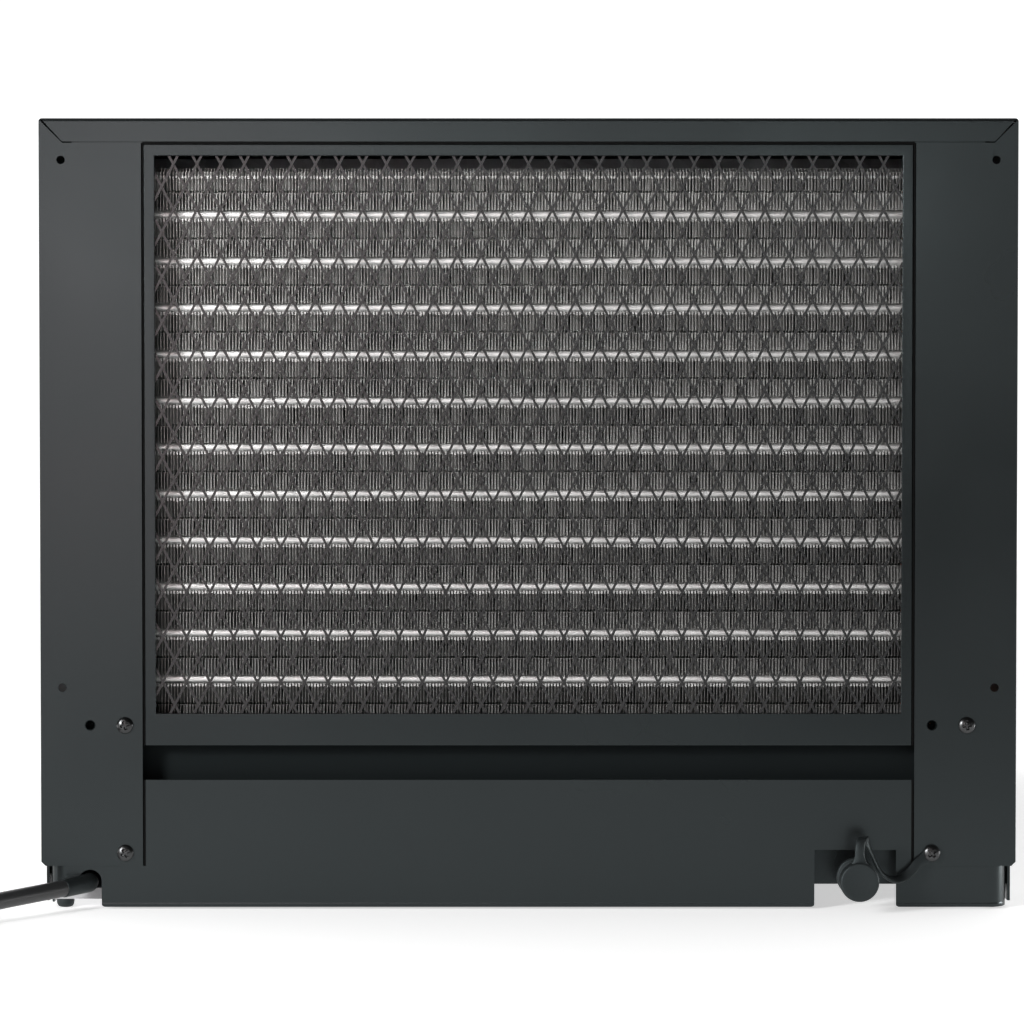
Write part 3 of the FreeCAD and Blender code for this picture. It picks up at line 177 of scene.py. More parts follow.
def spangled(name, low, high, rough, scale):
    """Zinc coat with large flat crystals."""
    material, tree, shader, place = new_material(name)
    crystal = cells(tree, place, scale).outputs["Color"]
    tone = mixed(tree, crystal, noise(tree, place, ZINC_GRAIN), ZINC_SHARE)
    gloss = remap(tree, tone, rough - ZINC_DRIFT, rough + ZINC_DRIFT)
    tree.links.new(ramp(tree, tone, low, high, 0.2, 0.8), shader.inputs["Base Color"])
    tree.links.new(gloss, shader.inputs["Roughness"])
    shader.inputs["Metallic"].default_value = ZINC_METAL
    return material


def pored(name, low, high, scale, depth):
    """Open foam with round pores."""
    material, tree, shader, place = new_material(name)
    edge = cells(tree, place, scale).outputs["Distance"]
    tree.links.new(ramp(tree, edge, low, high, 0.1, 0.6), shader.inputs["Base Color"])
    relief(tree, shader, edge, depth)
    shader.inputs["Roughness"].default_value = FOAM_ROUGH
    return material


# Painted shade on the fins, darker towards their foot where the light falls off: its shade, then
# the heights in metres where it is full and where it is gone
FIN_FOOT_SHADE = (0.42, 0.07, 0.34)

# Looks of the record's slots: two tones, roughness, grain per metre and relief in metres
LOOKS = {
    "black_powder_coat": coated(
        "powder_coat", (0.0063, 0.0071, 0.0074), (0.0093, 0.0103, 0.0106), 0.24, 1300, 0.00001,
        spec=0.41, tint=COOL,
    ),
    "mesh_black": coated(
        "mesh_paint", (0.0062, 0.0069, 0.0072), (0.0094, 0.0101, 0.0104), 0.27, 2200, 0.00001
    ),
    "galvanised_steel": spangled("zinc_coat", (0.42, 0.44, 0.46), (0.62, 0.64, 0.66), 0.42, 130.0),
    "skid_grey": coated("skid_paint", (0.36, 0.36, 0.37), (0.46, 0.46, 0.47), 0.5, 1500, 0.00003),
    # The fin stock darkens towards its foot: painted shade
    "fin_aluminium": coated(
        "fin_stock", (0.42, 0.417, 0.41), (0.55, 0.547, 0.53), 0.34, 600, 0.00001,
        metal=0.5, foot_shade=FIN_FOOT_SHADE,
    ),
    "tube_copper": coated(
        "copper", (0.62, 0.27, 0.16), (0.82, 0.42, 0.27), 0.32, 300, 0.00002, metal=1.0, patch=25.0
    ),
    "black_rubber": coated(
        "rubber", (0.0082, 0.0096, 0.010), (0.0148, 0.0172, 0.0178), 0.5, 1800, 0.00002,
        spec=0.33, tint=COOL,
    ),
    "cord_jacket": coated(
        "jacket", (0.018, 0.0185, 0.019), (0.03, 0.031, 0.032), 0.4, 1500, 0.00002
    ),
    "black_plastic": coated(
        "moulding", (0.014, 0.015, 0.016), (0.022, 0.023, 0.025), 0.5, 2400, 0.00004
    ),
    "key_plastic": coated("keys", (0.30, 0.31, 0.32), (0.38, 0.39, 0.40), 0.55, 2600, 0.00003),
    "machine_black": coated(
        "machine_paint", (0.01, 0.01, 0.011), (0.018, 0.018, 0.019), 0.35, 500, 0.00004
    ),
    "shaft_steel": coated(
        "turned_steel", (0.45, 0.45, 0.46), (0.62, 0.62, 0.63), 0.3, 900, 0.00002, metal=1.0
    ),
    "display_lens": coated(
        "lens", (0.004, 0.005, 0.006), (0.008, 0.009, 0.011), 0.12, 400, 0.000004
    ),
    "board_green": coated(
        "board", (0.01, 0.08, 0.03), (0.02, 0.15, 0.06), 0.35, 500, 0.00003, patch=120.0
    ),
    "capacitor_grey": coated(
        "can", (0.42, 0.43, 0.44), (0.52, 0.53, 0.54), 0.38, 900, 0.00003, metal=0.6
    ),
    "filter_foam": pored("foam", (0.05, 0.05, 0.055), (0.012, 0.012, 0.014), 700.0, 0.0006),
    "pin_brass": coated(
        "brass", (0.55, 0.42, 0.18), (0.72, 0.57, 0.28), 0.3, 700, 0.00002, metal=1.0
    ),
}
COLLAR_METAL = coated(
    "collars", (0.78, 0.78, 0.77), (0.87, 0.87, 0.86), 0.42, 900, 0.00001, metal=1.0
)
# Lighter copy of the fin stock for the fins' turned ends: painted highlight
TOOTH_LIT_METAL = coated(
    "fin_teeth_lit", (0.50, 0.50, 0.49), (0.60, 0.60, 0.59), 0.42, 900, 0.00001, metal=0.7
)
# Darker copy of the powder coat for the grille panel: painted shade
GRILLE_SHADED_COAT = coated(
    "grille_coat_shaded", (0.0042, 0.0048, 0.0050), (0.0062, 0.0070, 0.0072), 0.24, 1300, 0.00001,
    spec=0.4, tint=COOL,
)
# Near-black matt finish of the seam bead: painted shadow
SEAM_SHADOW_FOAM = coated(
    "seam_shadow_foam", (0.002, 0.002, 0.002), (0.004, 0.004, 0.004), 0.9, 3000, 0.00005, spec=0.1
)
# Near-black matt paint: painted shade, for the plate in the slot under the grille and the cups in
# the spare holes
SHADE_BLACK = coated(
    "shade_black", (0.0028, 0.0038, 0.004), (0.0042, 0.0054, 0.0057), 0.7, 1500, 0.00003,
    spec=0.13, tint=COOL,
)
SCREW_METAL = coated(
    "screw_plating", (0.05, 0.051, 0.052), (0.09, 0.091, 0.092), 0.3, 1200, 0.00001, metal=1.0
)

for node in NODES.values():
    node.data.materials[0] = LOOKS[node.data.materials[0].name]
# The sill seen through the slot under the grille is near-black: painted shade of the recess
NODES["coil_sill"].data.materials[0] = SHADE_BLACK
# The grille panel takes the darker copy of the powder coat: painted shade
NODES["grille_panel"].data.materials[0] = GRILLE_SHADED_COAT


# Mesh helpers

def add_piece(name, points, faces, body, slot, look=None):
    """Mesh piece in the shared frame that rides on a body, in its slot's look or another."""
    mesh = bpy.data.meshes.new(name)
    mesh.from_pydata(points, [], faces)
    mesh.update()
    mesh.materials.append(look or LOOKS[slot])
    piece = bpy.data.objects.new(name, mesh)
    bpy.context.scene.collection.objects.link(piece)
    if body:
        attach(piece, body)
    return piece


def smoothed(piece, angle):
    """Smooth shading with hard edges kept above an angle in degrees."""
    piece.data.shade_smooth()
    piece.data.set_sharp_from_angle(angle=math.radians(angle))
    return piece


def turn_angles(count):
    """Angles of a full turn in equal steps."""
    return [2 * math.pi * k / count for k in range(count)]


def arc_angles(arc, steps):
    """Angles from 0 to an arc's end in equal steps."""
    return [arc * k / steps for k in range(steps + 1)]


def joined_rings(rings):
    """Points of all rings in one list."""
    return [point for ring in rings for point in ring]


def rings_faces(rings, count):
    """Quads between consecutive rings of count points each."""
    faces = []
    for ring in range(rings - 1):
        for k in range(count):
            a = ring * count + k
            b = ring * count + (k + 1) % count
            faces.append((a, b, b + count, a + count))
    return faces


def loop_faces(rings, count):
    """Quads between consecutive rings, and from the last ring to the first."""
    total = rings * count
    return [tuple(k % total for k in face) for face in rings_faces(rings + 1, count)]


def turned(profile, centre, count):
    """Rings of a shape turned about a Y axis, from radius and Y pairs."""
    rings = []
    for radius, y in profile:
        rings.append([
            (centre.x + radius * math.cos(a), y, centre.z + radius * math.sin(a))
            for a in turn_angles(count)
        ])
    return rings


class Heap:
    """Points and faces of closed shapes that become one piece."""

    def __init__(self):
        self.points = []
        self.faces = []

    def strip(self, sections, caps=None):
        """Adds a closed strip through sections; caps are the faces of one end section."""
        count = len(sections[0])
        caps = caps or [tuple(range(count))]
        base = len(self.points)
        last = (len(sections) - 1) * count
        faces = rings_faces(len(sections), count)
        faces += [face[::-1] for face in caps]
        faces += [tuple(last + k for k in face) for face in caps]
        self.points += joined_rings(sections)
        self.faces += [tuple(base + k for k in face) for face in faces]


def swept(name, sections, body, slot, angle):
    """Closed piece through sections, smooth apart from edges above an angle in degrees."""
    heap = Heap()
    heap.strip(sections)
    return smoothed(add_piece(name, heap.points, heap.faces, body, slot), angle)


def ease(value, start, end):
    """Smooth step from 0 at start to 1 at end."""
    t = min(max((value - start) / (end - start), 0), 1)
    return t * t * (3 - 2 * t)


# Camera

CAMERA_PLACE = Vector((-0.0074, -2.1205, 0.239))
CAMERA_TILT = math.radians(88.085)
CAMERA_LENS = 141.25
CAMERA_SENSOR = 36.0

camera_data = bpy.data.cameras.new("camera")
camera_data.lens = CAMERA_LENS
camera_data.sensor_width = CAMERA_SENSOR
camera = bpy.data.objects.new("camera", camera_data)
camera.location = CAMERA_PLACE
camera.rotation_euler = (CAMERA_TILT, 0, 0)
bpy.context.scene.collection.objects.link(camera)
bpy.context.scene.camera = camera


# Supply cord: out of its boot, along the floor, into a tied coil beside the unit

CORD_R = 3.75 * MM
CORD_EXIT = Vector((-198.0, -319.5, 11.8)) * MM
CORD_HEADING = Vector((-0.62, -0.78, -0.0639)).normalized()
CORD_ORDER = 3
CORD_STEPS = 5
BOOT_LENGTH = 16.0 * MM
CORD_RUN = 110.0 * MM
CORD_BOW = 1.6 * MM
COIL_MEAN_R = 41.0 * MM
PLUG_Z = 8.75 * MM

# Coil turns: place across the ring in cord diameters, then height in cord radii
COIL_TURNS = [(1, 1), (0, 1), (-1, 1), (-1, 3), (0, 3), (1, 3), (1, 5)]
TURN_POINTS = 16
SHIFT_FROM = 11.5
RISE_FROM = 13
STEP_POINTS = 3
LAST_ANGLE = -math.pi + 0.2

# Cord's tail: share of its run towards the plug, then height
TAIL_RUN = 62.0 * MM
TAIL = [(0.0, 5 * CORD_R), (0.45, 4.6 * CORD_R), (0.8, PLUG_Z), (1.0, PLUG_Z)]

cord_touch = CORD_EXIT + CORD_HEADING * (BOOT_LENGTH + CORD_RUN)
outer_r = COIL_MEAN_R + 2 * CORD_R
aside = Vector((CORD_HEADING.y, -CORD_HEADING.x, 0)).normalized() * outer_r
coil_centre = Vector((cord_touch.x + aside.x, cord_touch.y + aside.y, 0))


def coil_points():
    """Control points of the coil: three turns inwards on the floor, three outwards, part of one."""
    turns = [(COIL_MEAN_R + 2 * CORD_R * across, CORD_R * up) for across, up in COIL_TURNS]
    widen = 1 / math.cos(math.pi / TURN_POINTS)
    start = math.atan2(-aside.y, -aside.x)
    points = []
    for turn, (radius, level) in enumerate(turns):
        last = turn == len(turns) - 1
        for k, swing in enumerate(turn_angles(TURN_POINTS)):
            angle = start - swing
            if last and angle < LAST_ANGLE:
                break
            r, z = radius, level
            if not last:
                next_radius, next_level = turns[turn + 1]
                shift = min(max((k - SHIFT_FROM) / STEP_POINTS, 0), 1)
                rise = min(max((k - RISE_FROM) / STEP_POINTS, 0), 1)
                r += (next_radius - radius) * (shift if level > CORD_R else rise)
                z += (next_level - level) * rise
            out = Vector((math.cos(angle), math.sin(angle), 0))
            points.append(coil_centre + out * r * widen + Vector((0, 0, z)))
    return points


def cord_line():
    """Control points of the whole cord, from its exit to the plug."""
    boot_end = CORD_EXIT + CORD_HEADING * BOOT_LENGTH
    halfway = CORD_EXIT + CORD_HEADING * (BOOT_LENGTH + 0.5 * CORD_RUN) + Vector((0, 0, CORD_BOW))
    tail_x = coil_centre.x - outer_r
    tail = [Vector((tail_x, coil_centre.y + share * TAIL_RUN, z)) for share, z in TAIL]
    return [CORD_EXIT, boot_end, halfway] + coil_points() + tail


def make_cord():
    """Cord as one smooth round curve."""
    data = bpy.data.curves.new("supply_cord", "CURVE")
    data.dimensions = "3D"
    data.bevel_depth = CORD_R
    data.bevel_resolution = CORD_STEPS
    data.resolution_u = CORD_STEPS
    data.use_fill_caps = True
    route = cord_line()
    spline = data.splines.new("NURBS")
    spline.points.add(len(route) - 1)
    for point, place in zip(spline.points, route):
        point.co = (*place, 1)
    spline.order_u = CORD_ORDER
    spline.use_endpoint_u = True
    data.materials.append(LOOKS["cord_jacket"])
    cord = bpy.data.objects.new("supply_cord", data)
    bpy.context.scene.collection.objects.link(cord)
    return cord


cord = make_cord()
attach(cord, "chassis")
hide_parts("power_cord", "power_cord_coil", "power_cord_tail")


# Condenser coil at its real fin pitch

FIN_PITCH = 1.41 * MM
FIN_EDGE = 0.2 * MM
FIN_SHEET = 0.14 * MM
FIN_LEAN = 0.78 * MM
FIN_BEND = 1.6 * MM
FIN_FRONT = 3.9 * MM
FIN_SEED = 11
LEAN_SPREAD = 0.18
PLACE_SPREAD = 0.05 * MM
TUBE_PITCH = 21.0 * MM
TUBES = 12
TUBE_ROWS = 2
ROW_DEPTH = 12.7 * MM
COLLAR_R = 3.65 * MM
COLLAR_SIDES = 28
COLLAR_SHARP = 35
BARE_ABOVE = 2.0 * MM
BARE_BELOW = 1.8 * MM
BREAK_DROP = 0.8 * MM
BREAK_GAP = 1.0 * MM
TOOTH_WIDE = 0.75 * MM
TOOTH_TALL = 1.3 * MM
TOOTH_PROUD = 0.05 * MM
TOOTH_DEEP = 1.0 * MM
TOOTH_SEED = 12
TOOTH_SPREAD = 0.1
FOLD_TALL = 0.35 * MM
BENT_CAPS = [(0, 1, 4, 5), (1, 2, 3, 4)]

fin_low, fin_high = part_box("condenser_fins")
fin_count = int((fin_high.x - fin_low.x) / FIN_PITCH)
fin_first = (fin_low.x + fin_high.x - (fin_count - 1) * FIN_PITCH) / 2
FIN_PLACES = [fin_first + number * FIN_PITCH for number in range(fin_count)]
FRONT_TUBES = [fin_low.z + TUBE_PITCH * (tube + 0.5) for tube in range(TUBES)]
SPAN_STARTS = [fin_low.z - TUBE_PITCH / 2] + FRONT_TUBES


def bent_section(x, z, lean):
    """Section of a fin's front strip: its edge, a bend to one side and the way to the plate."""
    half = FIN_EDGE / 2
    line = [(0, 0), (lean, FIN_BEND), (0, FIN_FRONT)]
    right = [(x + dx + half, fin_low.y + dy, z) for dx, dy in line]
    left = [(x + dx - half, fin_low.y + dy, z) for dx, dy in reversed(line)]
    return right + left


def block(x, half, y0, y1, low, high):
    """End sections of an upright block."""
    corners = [(x + half, y0), (x + half, y1), (x - half, y1), (x - half, y0)]
    return [[(*corner, z) for corner in corners] for z in (low, high)]


def fin_spans():
    """Low end, high end and lean of each front strip of a fin."""
    spans = []
    for tube in SPAN_STARTS:
        low = max(tube + BARE_ABOVE, fin_low.z)
        high = min(tube + TUBE_PITCH - BARE_BELOW, fin_high.z)
        middle = tube + TUBE_PITCH / 2 - BREAK_DROP
        if middle > low:
            spans.append((low, middle, -FIN_LEAN))
        spans.append((max(middle + BREAK_GAP, low), high, FIN_LEAN))
    return spans


def make_fins():
    """Fins at their real pitch: a plate each, and front strips that lean both ways at a break."""
    draw = Random(FIN_SEED)
    heap = Heap()
    front = fin_low.y
    spans = fin_spans()
    for x in FIN_PLACES:
        heap.strip(block(x, FIN_SHEET / 2, front + FIN_FRONT, fin_high.y, fin_low.z, fin_high.z))
        for low, high, lean in spans:
            lean *= 1 + draw.gauss(0, LEAN_SPREAD)
            if lean < 0:
                fold_low = high - FOLD_TALL
                heap.strip(block(x, TOOTH_WIDE / 2, front, front + FIN_BEND, fold_low, high))
            ends = [bent_section(x + draw.gauss(0, PLACE_SPREAD), z, lean) for z in (low, high)]
            heap.strip(ends, BENT_CAPS)
    return add_piece("condenser_fin_pack", heap.points, heap.faces, "chassis", "fin_aluminium")


def make_collars():
    """Fin collars that cover the tubes between the end sheets, one sleeve a tube."""
    heap = Heap()
    for row in range(TUBE_ROWS):
        y = fin_low.y + ROW_DEPTH * (row + 0.5)
        for tube in range(TUBES):
            z = fin_low.z + TUBE_PITCH * (tube + 0.5 + 0.5 * row)
            ring = [
                (y + COLLAR_R * math.cos(a), z + COLLAR_R * math.sin(a))
                for a in turn_angles(COLLAR_SIDES)
            ]
            heap.strip([[(x, *point) for point in ring] for x in (fin_low.x, fin_high.x)])
    piece = add_piece(
        "condenser_collars", heap.points, heap.faces, "chassis", "fin_aluminium", COLLAR_METAL
    )
    smoothed(piece, COLLAR_SHARP)


def make_teeth():
    """Turned ends of the fins' strips, a tooth under each tube, in a lighter metal: painted
    highlight where they catch the light.
    """
    draw = Random(TOOTH_SEED)
    heap = Heap()
    for x in FIN_PLACES:
        for tube in FRONT_TUBES + [fin_high.z - BARE_BELOW]:
            top = tube - BARE_BELOW
            half = TOOTH_WIDE / 2 * (1 + draw.gauss(0, TOOTH_SPREAD))
            low = top - TOOTH_TALL * (1 + draw.gauss(0, TOOTH_SPREAD))
            heap.strip(block(x, half, fin_low.y - TOOTH_PROUD, fin_low.y + TOOTH_DEEP, low, top))
    add_piece("condenser_teeth", heap.points, heap.faces, "chassis", "fin_aluminium", TOOTH_LIT_METAL)


fins = make_fins()
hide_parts("condenser_fins")
make_collars()
make_teeth()


# Screws

HEAD_R = 3.7 * MM
HEAD_RIM = 0.9 * MM
HEAD_CROWN = 1.3 * MM
CROWN_POWER = 0.7
HEAD_RINGS = 26
HEAD_SIDES = 72
FIRST_RING = 0.4
HEAD_SHARP = 45
RECESS_REACH = 2.15 * MM
RECESS_TAPER = 0.75
RECESS_HALF = 0.55 * MM
RECESS_SOFT = 0.12 * MM
RECESS_DEPTH = 1.4 * MM

cover_low, cover_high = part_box("outer_cover")
grille_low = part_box("grille_panel")[0]
HALF = cover_high.x
SHEET = 1.0 * MM
SCREW_INNER = HALF - 37.8 * MM
SCREW_OUTER = HALF - 22.2 * MM
UPPER_Z = grille_low.z + 9.1 * MM
LOWER_Z = cover_low.z + 5.9 * MM
TETHER_THICK = 1.2 * MM


def head_height(r, angle):
    """Height of a cross-recessed pan head over the sheet."""
    height = HEAD_RIM + HEAD_CROWN * (1 - (r / HEAD_R) ** 2) ** CROWN_POWER
    u = abs(r * math.cos(angle))
    v = abs(r * math.sin(angle))
    deep = 0
    for along, across in ((u, v), (v, u)):
        inside = 1 - ease(across, RECESS_HALF - RECESS_SOFT, RECESS_HALF + RECESS_SOFT)
        inside *= 1 - ease(along, RECESS_TAPER * RECESS_REACH, RECESS_REACH)
        deep = max(deep, inside)
    return height - RECESS_DEPTH * deep


def make_screw(name, x, z, face, turn):
    """Pan-head screw on a sheet that faces the camera, with its recess turned by an angle."""
    rings = []
    for ring in range(HEAD_RINGS):
        r = min(HEAD_R * (ring + FIRST_RING) / (HEAD_RINGS - 1 + FIRST_RING), HEAD_R)
        rings.append([
            (x + r * math.cos(a), face - head_height(r, a - turn), z + r * math.sin(a))
            for a in turn_angles(HEAD_SIDES)
        ])
    rings += turned([(HEAD_R, face)], Vector((x, 0, z)), HEAD_SIDES)
    heap = Heap()
    heap.strip(rings)
    faces = [corners[::-1] for corners in heap.faces]
    piece = add_piece(name, heap.points, faces, "chassis", "machine_black", SCREW_METAL)
    smoothed(piece, HEAD_SHARP)


make_screw("screw_upper_left", -SCREW_INNER, UPPER_Z, cover_low.y, 0.35)
make_screw("screw_lower_left", -SCREW_INNER, LOWER_Z, cover_low.y, 0.55)
make_screw("screw_upper_right", SCREW_OUTER, UPPER_Z, cover_low.y, 0.15)
make_screw("screw_tether", SCREW_INNER, LOWER_Z, cover_low.y - TETHER_THICK, 0.7)


# Blind nuts in the two spare holes of the flanges

NUT_R = 2.35 * MM
NUT_BORE = 1.95 * MM
NUT_DEPTH = 9.0 * MM
NUT_SET_BACK = 0.1 * MM
NUT_PINHOLE = 0.3 * MM
NUT_FLOOR = 0.9
NUT_CHAMFER = 0.3 * MM
NUT_FLARE = 0.2 * MM
NUT_SIDES = 40
NUT_SHARP = 40


def make_blind_nut(name, x):
    """Cup behind a hole, closed at its end but for a pinhole."""
    face = cover_low.y + NUT_SET_BACK
    end = face + NUT_DEPTH
    floor = face + NUT_FLOOR * NUT_DEPTH
    profile = [
        (NUT_R, face), (NUT_R, end), (NUT_PINHOLE, end), (NUT_PINHOLE, floor),
        (NUT_BORE, floor), (NUT_BORE, face + NUT_CHAMFER), (NUT_BORE + NUT_FLARE, face),
    ]
    points = joined_rings(turned(profile, Vector((x, 0, UPPER_Z)), NUT_SIDES))
    faces = loop_faces(len(profile), NUT_SIDES)
    # The cup is near-black: painted shade inside the hole
    piece = add_piece(name, points, faces, "chassis", "machine_black", SHADE_BLACK)
    smoothed(piece, NUT_SHARP)


make_blind_nut("blind_nut_left", -SCREW_OUTER)
make_blind_nut("blind_nut_right", SCREW_INNER)


# Folded hem along the apron's lower edge

HEM_LOW = 0.9 * MM
HEM_TOP = 3.2 * MM
HEM_PROUD = 0.05 * MM
HEM_TUCK = 0.5 * MM
HEM_CORNER = 1.8 * MM
HEM_LIFT = 0.6
HEM_STEPS = 6
HEM_SHARP = 50
APRON_BEND = 8.0 * MM
BEND_ARC = math.radians(84)
BEND_STEPS = 12
CORD_CUT = HALF - 27.0 * MM
DRAIN_MIDDLE = HALF - 72.0 * MM
DRAIN_HALF = 18.35 * MM

apron_low, apron_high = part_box("rear_apron")


def hem_ring(x, y, normal, low):
    """Section of the hem across a wall whose outward normal is given, rounded at its foot."""
    radius = SHEET / 2 + HEM_PROUD
    pairs = [(2 * HEM_PROUD, HEM_TOP), (-HEM_PROUD, HEM_TOP - HEM_TUCK)]
    for a in arc_angles(math.pi, HEM_STEPS):
        pairs.append((SHEET / 2 - radius * math.cos(a), low + radius - radius * math.sin(a)))
    pairs += [(SHEET + HEM_PROUD, HEM_TOP - HEM_TUCK), (SHEET - 2 * HEM_PROUD, HEM_TOP)]
    return [(x - normal[0] * inward, y - normal[1] * inward, z) for inward, z in pairs]


def hem_end(x, side):
    """Sections that lift the hem's foot round the corner of a cut; side points off the metal."""
    rings = []
    for a in arc_angles(math.pi / 2, HEM_STEPS):
        inset = side * HEM_CORNER * (1 - math.sin(a))
        lift = HEM_CORNER * (1 - math.cos(a)) * HEM_LIFT
        rings.append(hem_ring(x - inset, apron_low.y, (0, -1), HEM_LOW + lift))
    return rings


def make_hem():
    """Hem from the cord cut to the drain notch, and from there round the right bend."""
    left = hem_end(-CORD_CUT, -1)[::-1] + hem_end(DRAIN_MIDDLE - DRAIN_HALF, 1)
    right = hem_end(DRAIN_MIDDLE + DRAIN_HALF, -1)[::-1]
    for a in arc_angles(BEND_ARC, BEND_STEPS):
        x = apron_high.x - APRON_BEND * (1 - math.sin(a))
        y = apron_low.y + APRON_BEND * (1 - math.cos(a))
        right.append(hem_ring(x, y, (math.sin(a), -math.cos(a)), HEM_LOW))
    heap = Heap()
    heap.strip(left)
    heap.strip(right)
    piece = add_piece("apron_hem", heap.points, heap.faces, "chassis", "black_powder_coat")
    smoothed(piece, HEM_SHARP)


make_hem()


# Near-black bead in the seams round the grille panel and beside the apron: painted shadow of the
# seams

FLANGE_EDGE = HALF - 45.7 * MM
LIP_EDGE = cover_high.z - 10.5 * MM
SHADOW_BEAD_WIDE = 1.2 * MM
SHADOW_BEAD_TALL = 0.4 * MM
SHADOW_BEAD_STEPS = 6


def make_shadow_bead():
    """Half-round near-black bead up both flange edges, along under the lip and beside the apron:
    painted shadow in the seams.
    """
    back = cover_low.y + SHEET
    side = FLANGE_EDGE - SHADOW_BEAD_WIDE / 2
    under = LIP_EDGE - SHADOW_BEAD_WIDE / 2
    bead = [
        (math.cos(a) * SHADOW_BEAD_WIDE / 2, -math.sin(a) * SHADOW_BEAD_TALL)
        for a in arc_angles(math.pi, SHADOW_BEAD_STEPS)
    ]
    heap = Heap()
    for face, low, high in ((back, grille_low.z, under), (apron_low.y, cover_low.z, apron_high.z)):
        for x in (-side, side):
            heap.strip([[(x + u, face + v, z) for u, v in bead[::-1]] for z in (low, high)])
    heap.strip([[(x, back + v, under + u) for u, v in bead] for x in (-side, side)])
    add_piece("seam_shadow_bead", heap.points, heap.faces, "chassis", "black_rubber", SEAM_SHADOW_FOAM)


make_shadow_bead()


# Drain cap and its strap

CAP_NECK = 6.5 * MM
CAP_DISC = 8.0 * MM
CAP_RING = 3.0 * MM
CAP_EYE = 0.4 * MM
CAP_DISH = 0.25 * MM
CAP_DISH_RIM = 0.2 * MM
CAP_BORDER = 2.4 * MM
DISC_ROUND = 1.0 * MM
RING_ROUND = 0.8 * MM
ROUND_STEPS = 5
NECK_SLOPE = 0.4 * MM
BORE_R = 4.55 * MM
BORE_DEPTH = 4.0 * MM
CAP_SIDES = 64
CAP_SHARP = 40
RUBBER_SHARP = 50
STRAP_CUT = 0.3
STRAP_STEPS = 5

# Strap stations: X, Y, Z in millimetres from the cap's middle at the cabinet's face,
# then the strap's width and the direction of its width
STRAP = [
    ((0.0, -21.0, 6.5), 9.0, (1, 0, 0)),
    ((0.0, -21.3, 8.8), 6.4, (1, 0, 0)),
    ((0.0, -21.5, 11.5), 4.4, (1, 0, 0)),
    ((0.1, -21.5, 15.0), 4.2, (1, 0.05, 0)),
    ((0.8, -20.2, 18.0), 4.2, (1, 0.15, 0)),
    ((2.0, -17.0, 18.9), 4.2, (0.9, 0.35, 0)),
    ((3.8, -13.8, 16.8), 4.2, (0.6, 0.8, 0)),
    ((6.2, -11.6, 11.5), 4.2, (0.25, 0.95, 0)),
    ((9.2, -9.8, 5.0), 4.2, (0.15, 1, 0.1)),
    ((13.2, -8.0, 0.6), 4.2, (0, 1, 0.3)),
    ((18.4, -6.2, -0.8), 4.2, (-0.1, 0.8, 0.7)),
    ((23.4, -4.4, 1.6), 4.3, (-0.4, 0.45, 0.8)),
    ((27.6, -2.8, 5.8), 4.6, (-0.65, 0.15, 0.75)),
    ((31.4, -1.4, 8.3), 5.6, (-0.7, 0, 0.7)),
    ((34.2, -0.7, 10.5), 7.4, (-0.7, 0, 0.7)),
    ((36.0, -0.65, 12.2), 6.0, (-0.7, 0, 0.7)),
]

cap_low, cap_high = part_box("drain_cap")
cap_middle = (cap_low + cap_high) / 2
CAP_R = (cap_high.x - cap_low.x) / 2


def rounded_disc(front, back, radius, edge):
    """Radius and Y pairs of a disc's rounded rim, from its front to its back."""
    angles = arc_angles(math.pi / 2, ROUND_STEPS)
    inner = radius - edge
    rise = [(inner + edge * math.sin(a), front + edge - edge * math.cos(a)) for a in angles]
    fall = [(inner + edge * math.cos(a), back - edge + edge * math.sin(a)) for a in angles]
    return rise + fall


def make_cap():
    """Rubber cap with a rounded grip disc, a neck, a ring at its mouth and a bore."""
    face = cap_low.y
    neck = face + CAP_DISC
    mouth = cap_high.y
    ring = mouth - CAP_RING
    floor = mouth - BORE_DEPTH
    profile = [(CAP_EYE, face + CAP_DISH), (CAP_R - CAP_BORDER, face + CAP_DISH_RIM)]
    profile += rounded_disc(face, neck, CAP_R, DISC_ROUND)
    profile += [(CAP_NECK, neck + NECK_SLOPE), (CAP_NECK, ring - NECK_SLOPE)]
    profile += rounded_disc(ring, mouth, CAP_R, RING_ROUND)
    profile += [(BORE_R, mouth), (BORE_R, floor), (CAP_EYE, floor)]
    rings = turned(profile, cap_middle, CAP_SIDES)
    piece = swept("drain_cap_moulding", rings, "drain_plug", "black_rubber", CAP_SHARP)
    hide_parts("drain_cap")


def smooth_line(points, steps):
    """Points on a Catmull-Rom curve through the given ones."""
    line = []
    ends = [2 * points[0] - points[1]] + points + [2 * points[-1] - points[-2]]
    for a, b, c, d in zip(ends, ends[1:], ends[2:], ends[3:]):
        square = 2 * a - 5 * b + 4 * c - d
        cube = 3 * b - a - 3 * c + d
        for k in range(steps):
            t = k / steps
            line.append(0.5 * (2 * b + (c - a) * t + square * t ** 2 + cube * t ** 3))
    return line + [points[-1]]


def strap_section(middle, along, across, wide, thick):
    """Flat strap's section with cut corners, eight points."""
    face = along.cross(across).normalized()
    cut = min(wide, thick) * STRAP_CUT
    w, t = wide / 2, thick / 2
    outline = [
        (-w + cut, -t), (w - cut, -t), (w, -t + cut), (w, t - cut),
        (w - cut, t), (-w + cut, t), (-w, t - cut), (-w, -t + cut),
    ]
    return [middle + across * u + face * v for u, v in outline]


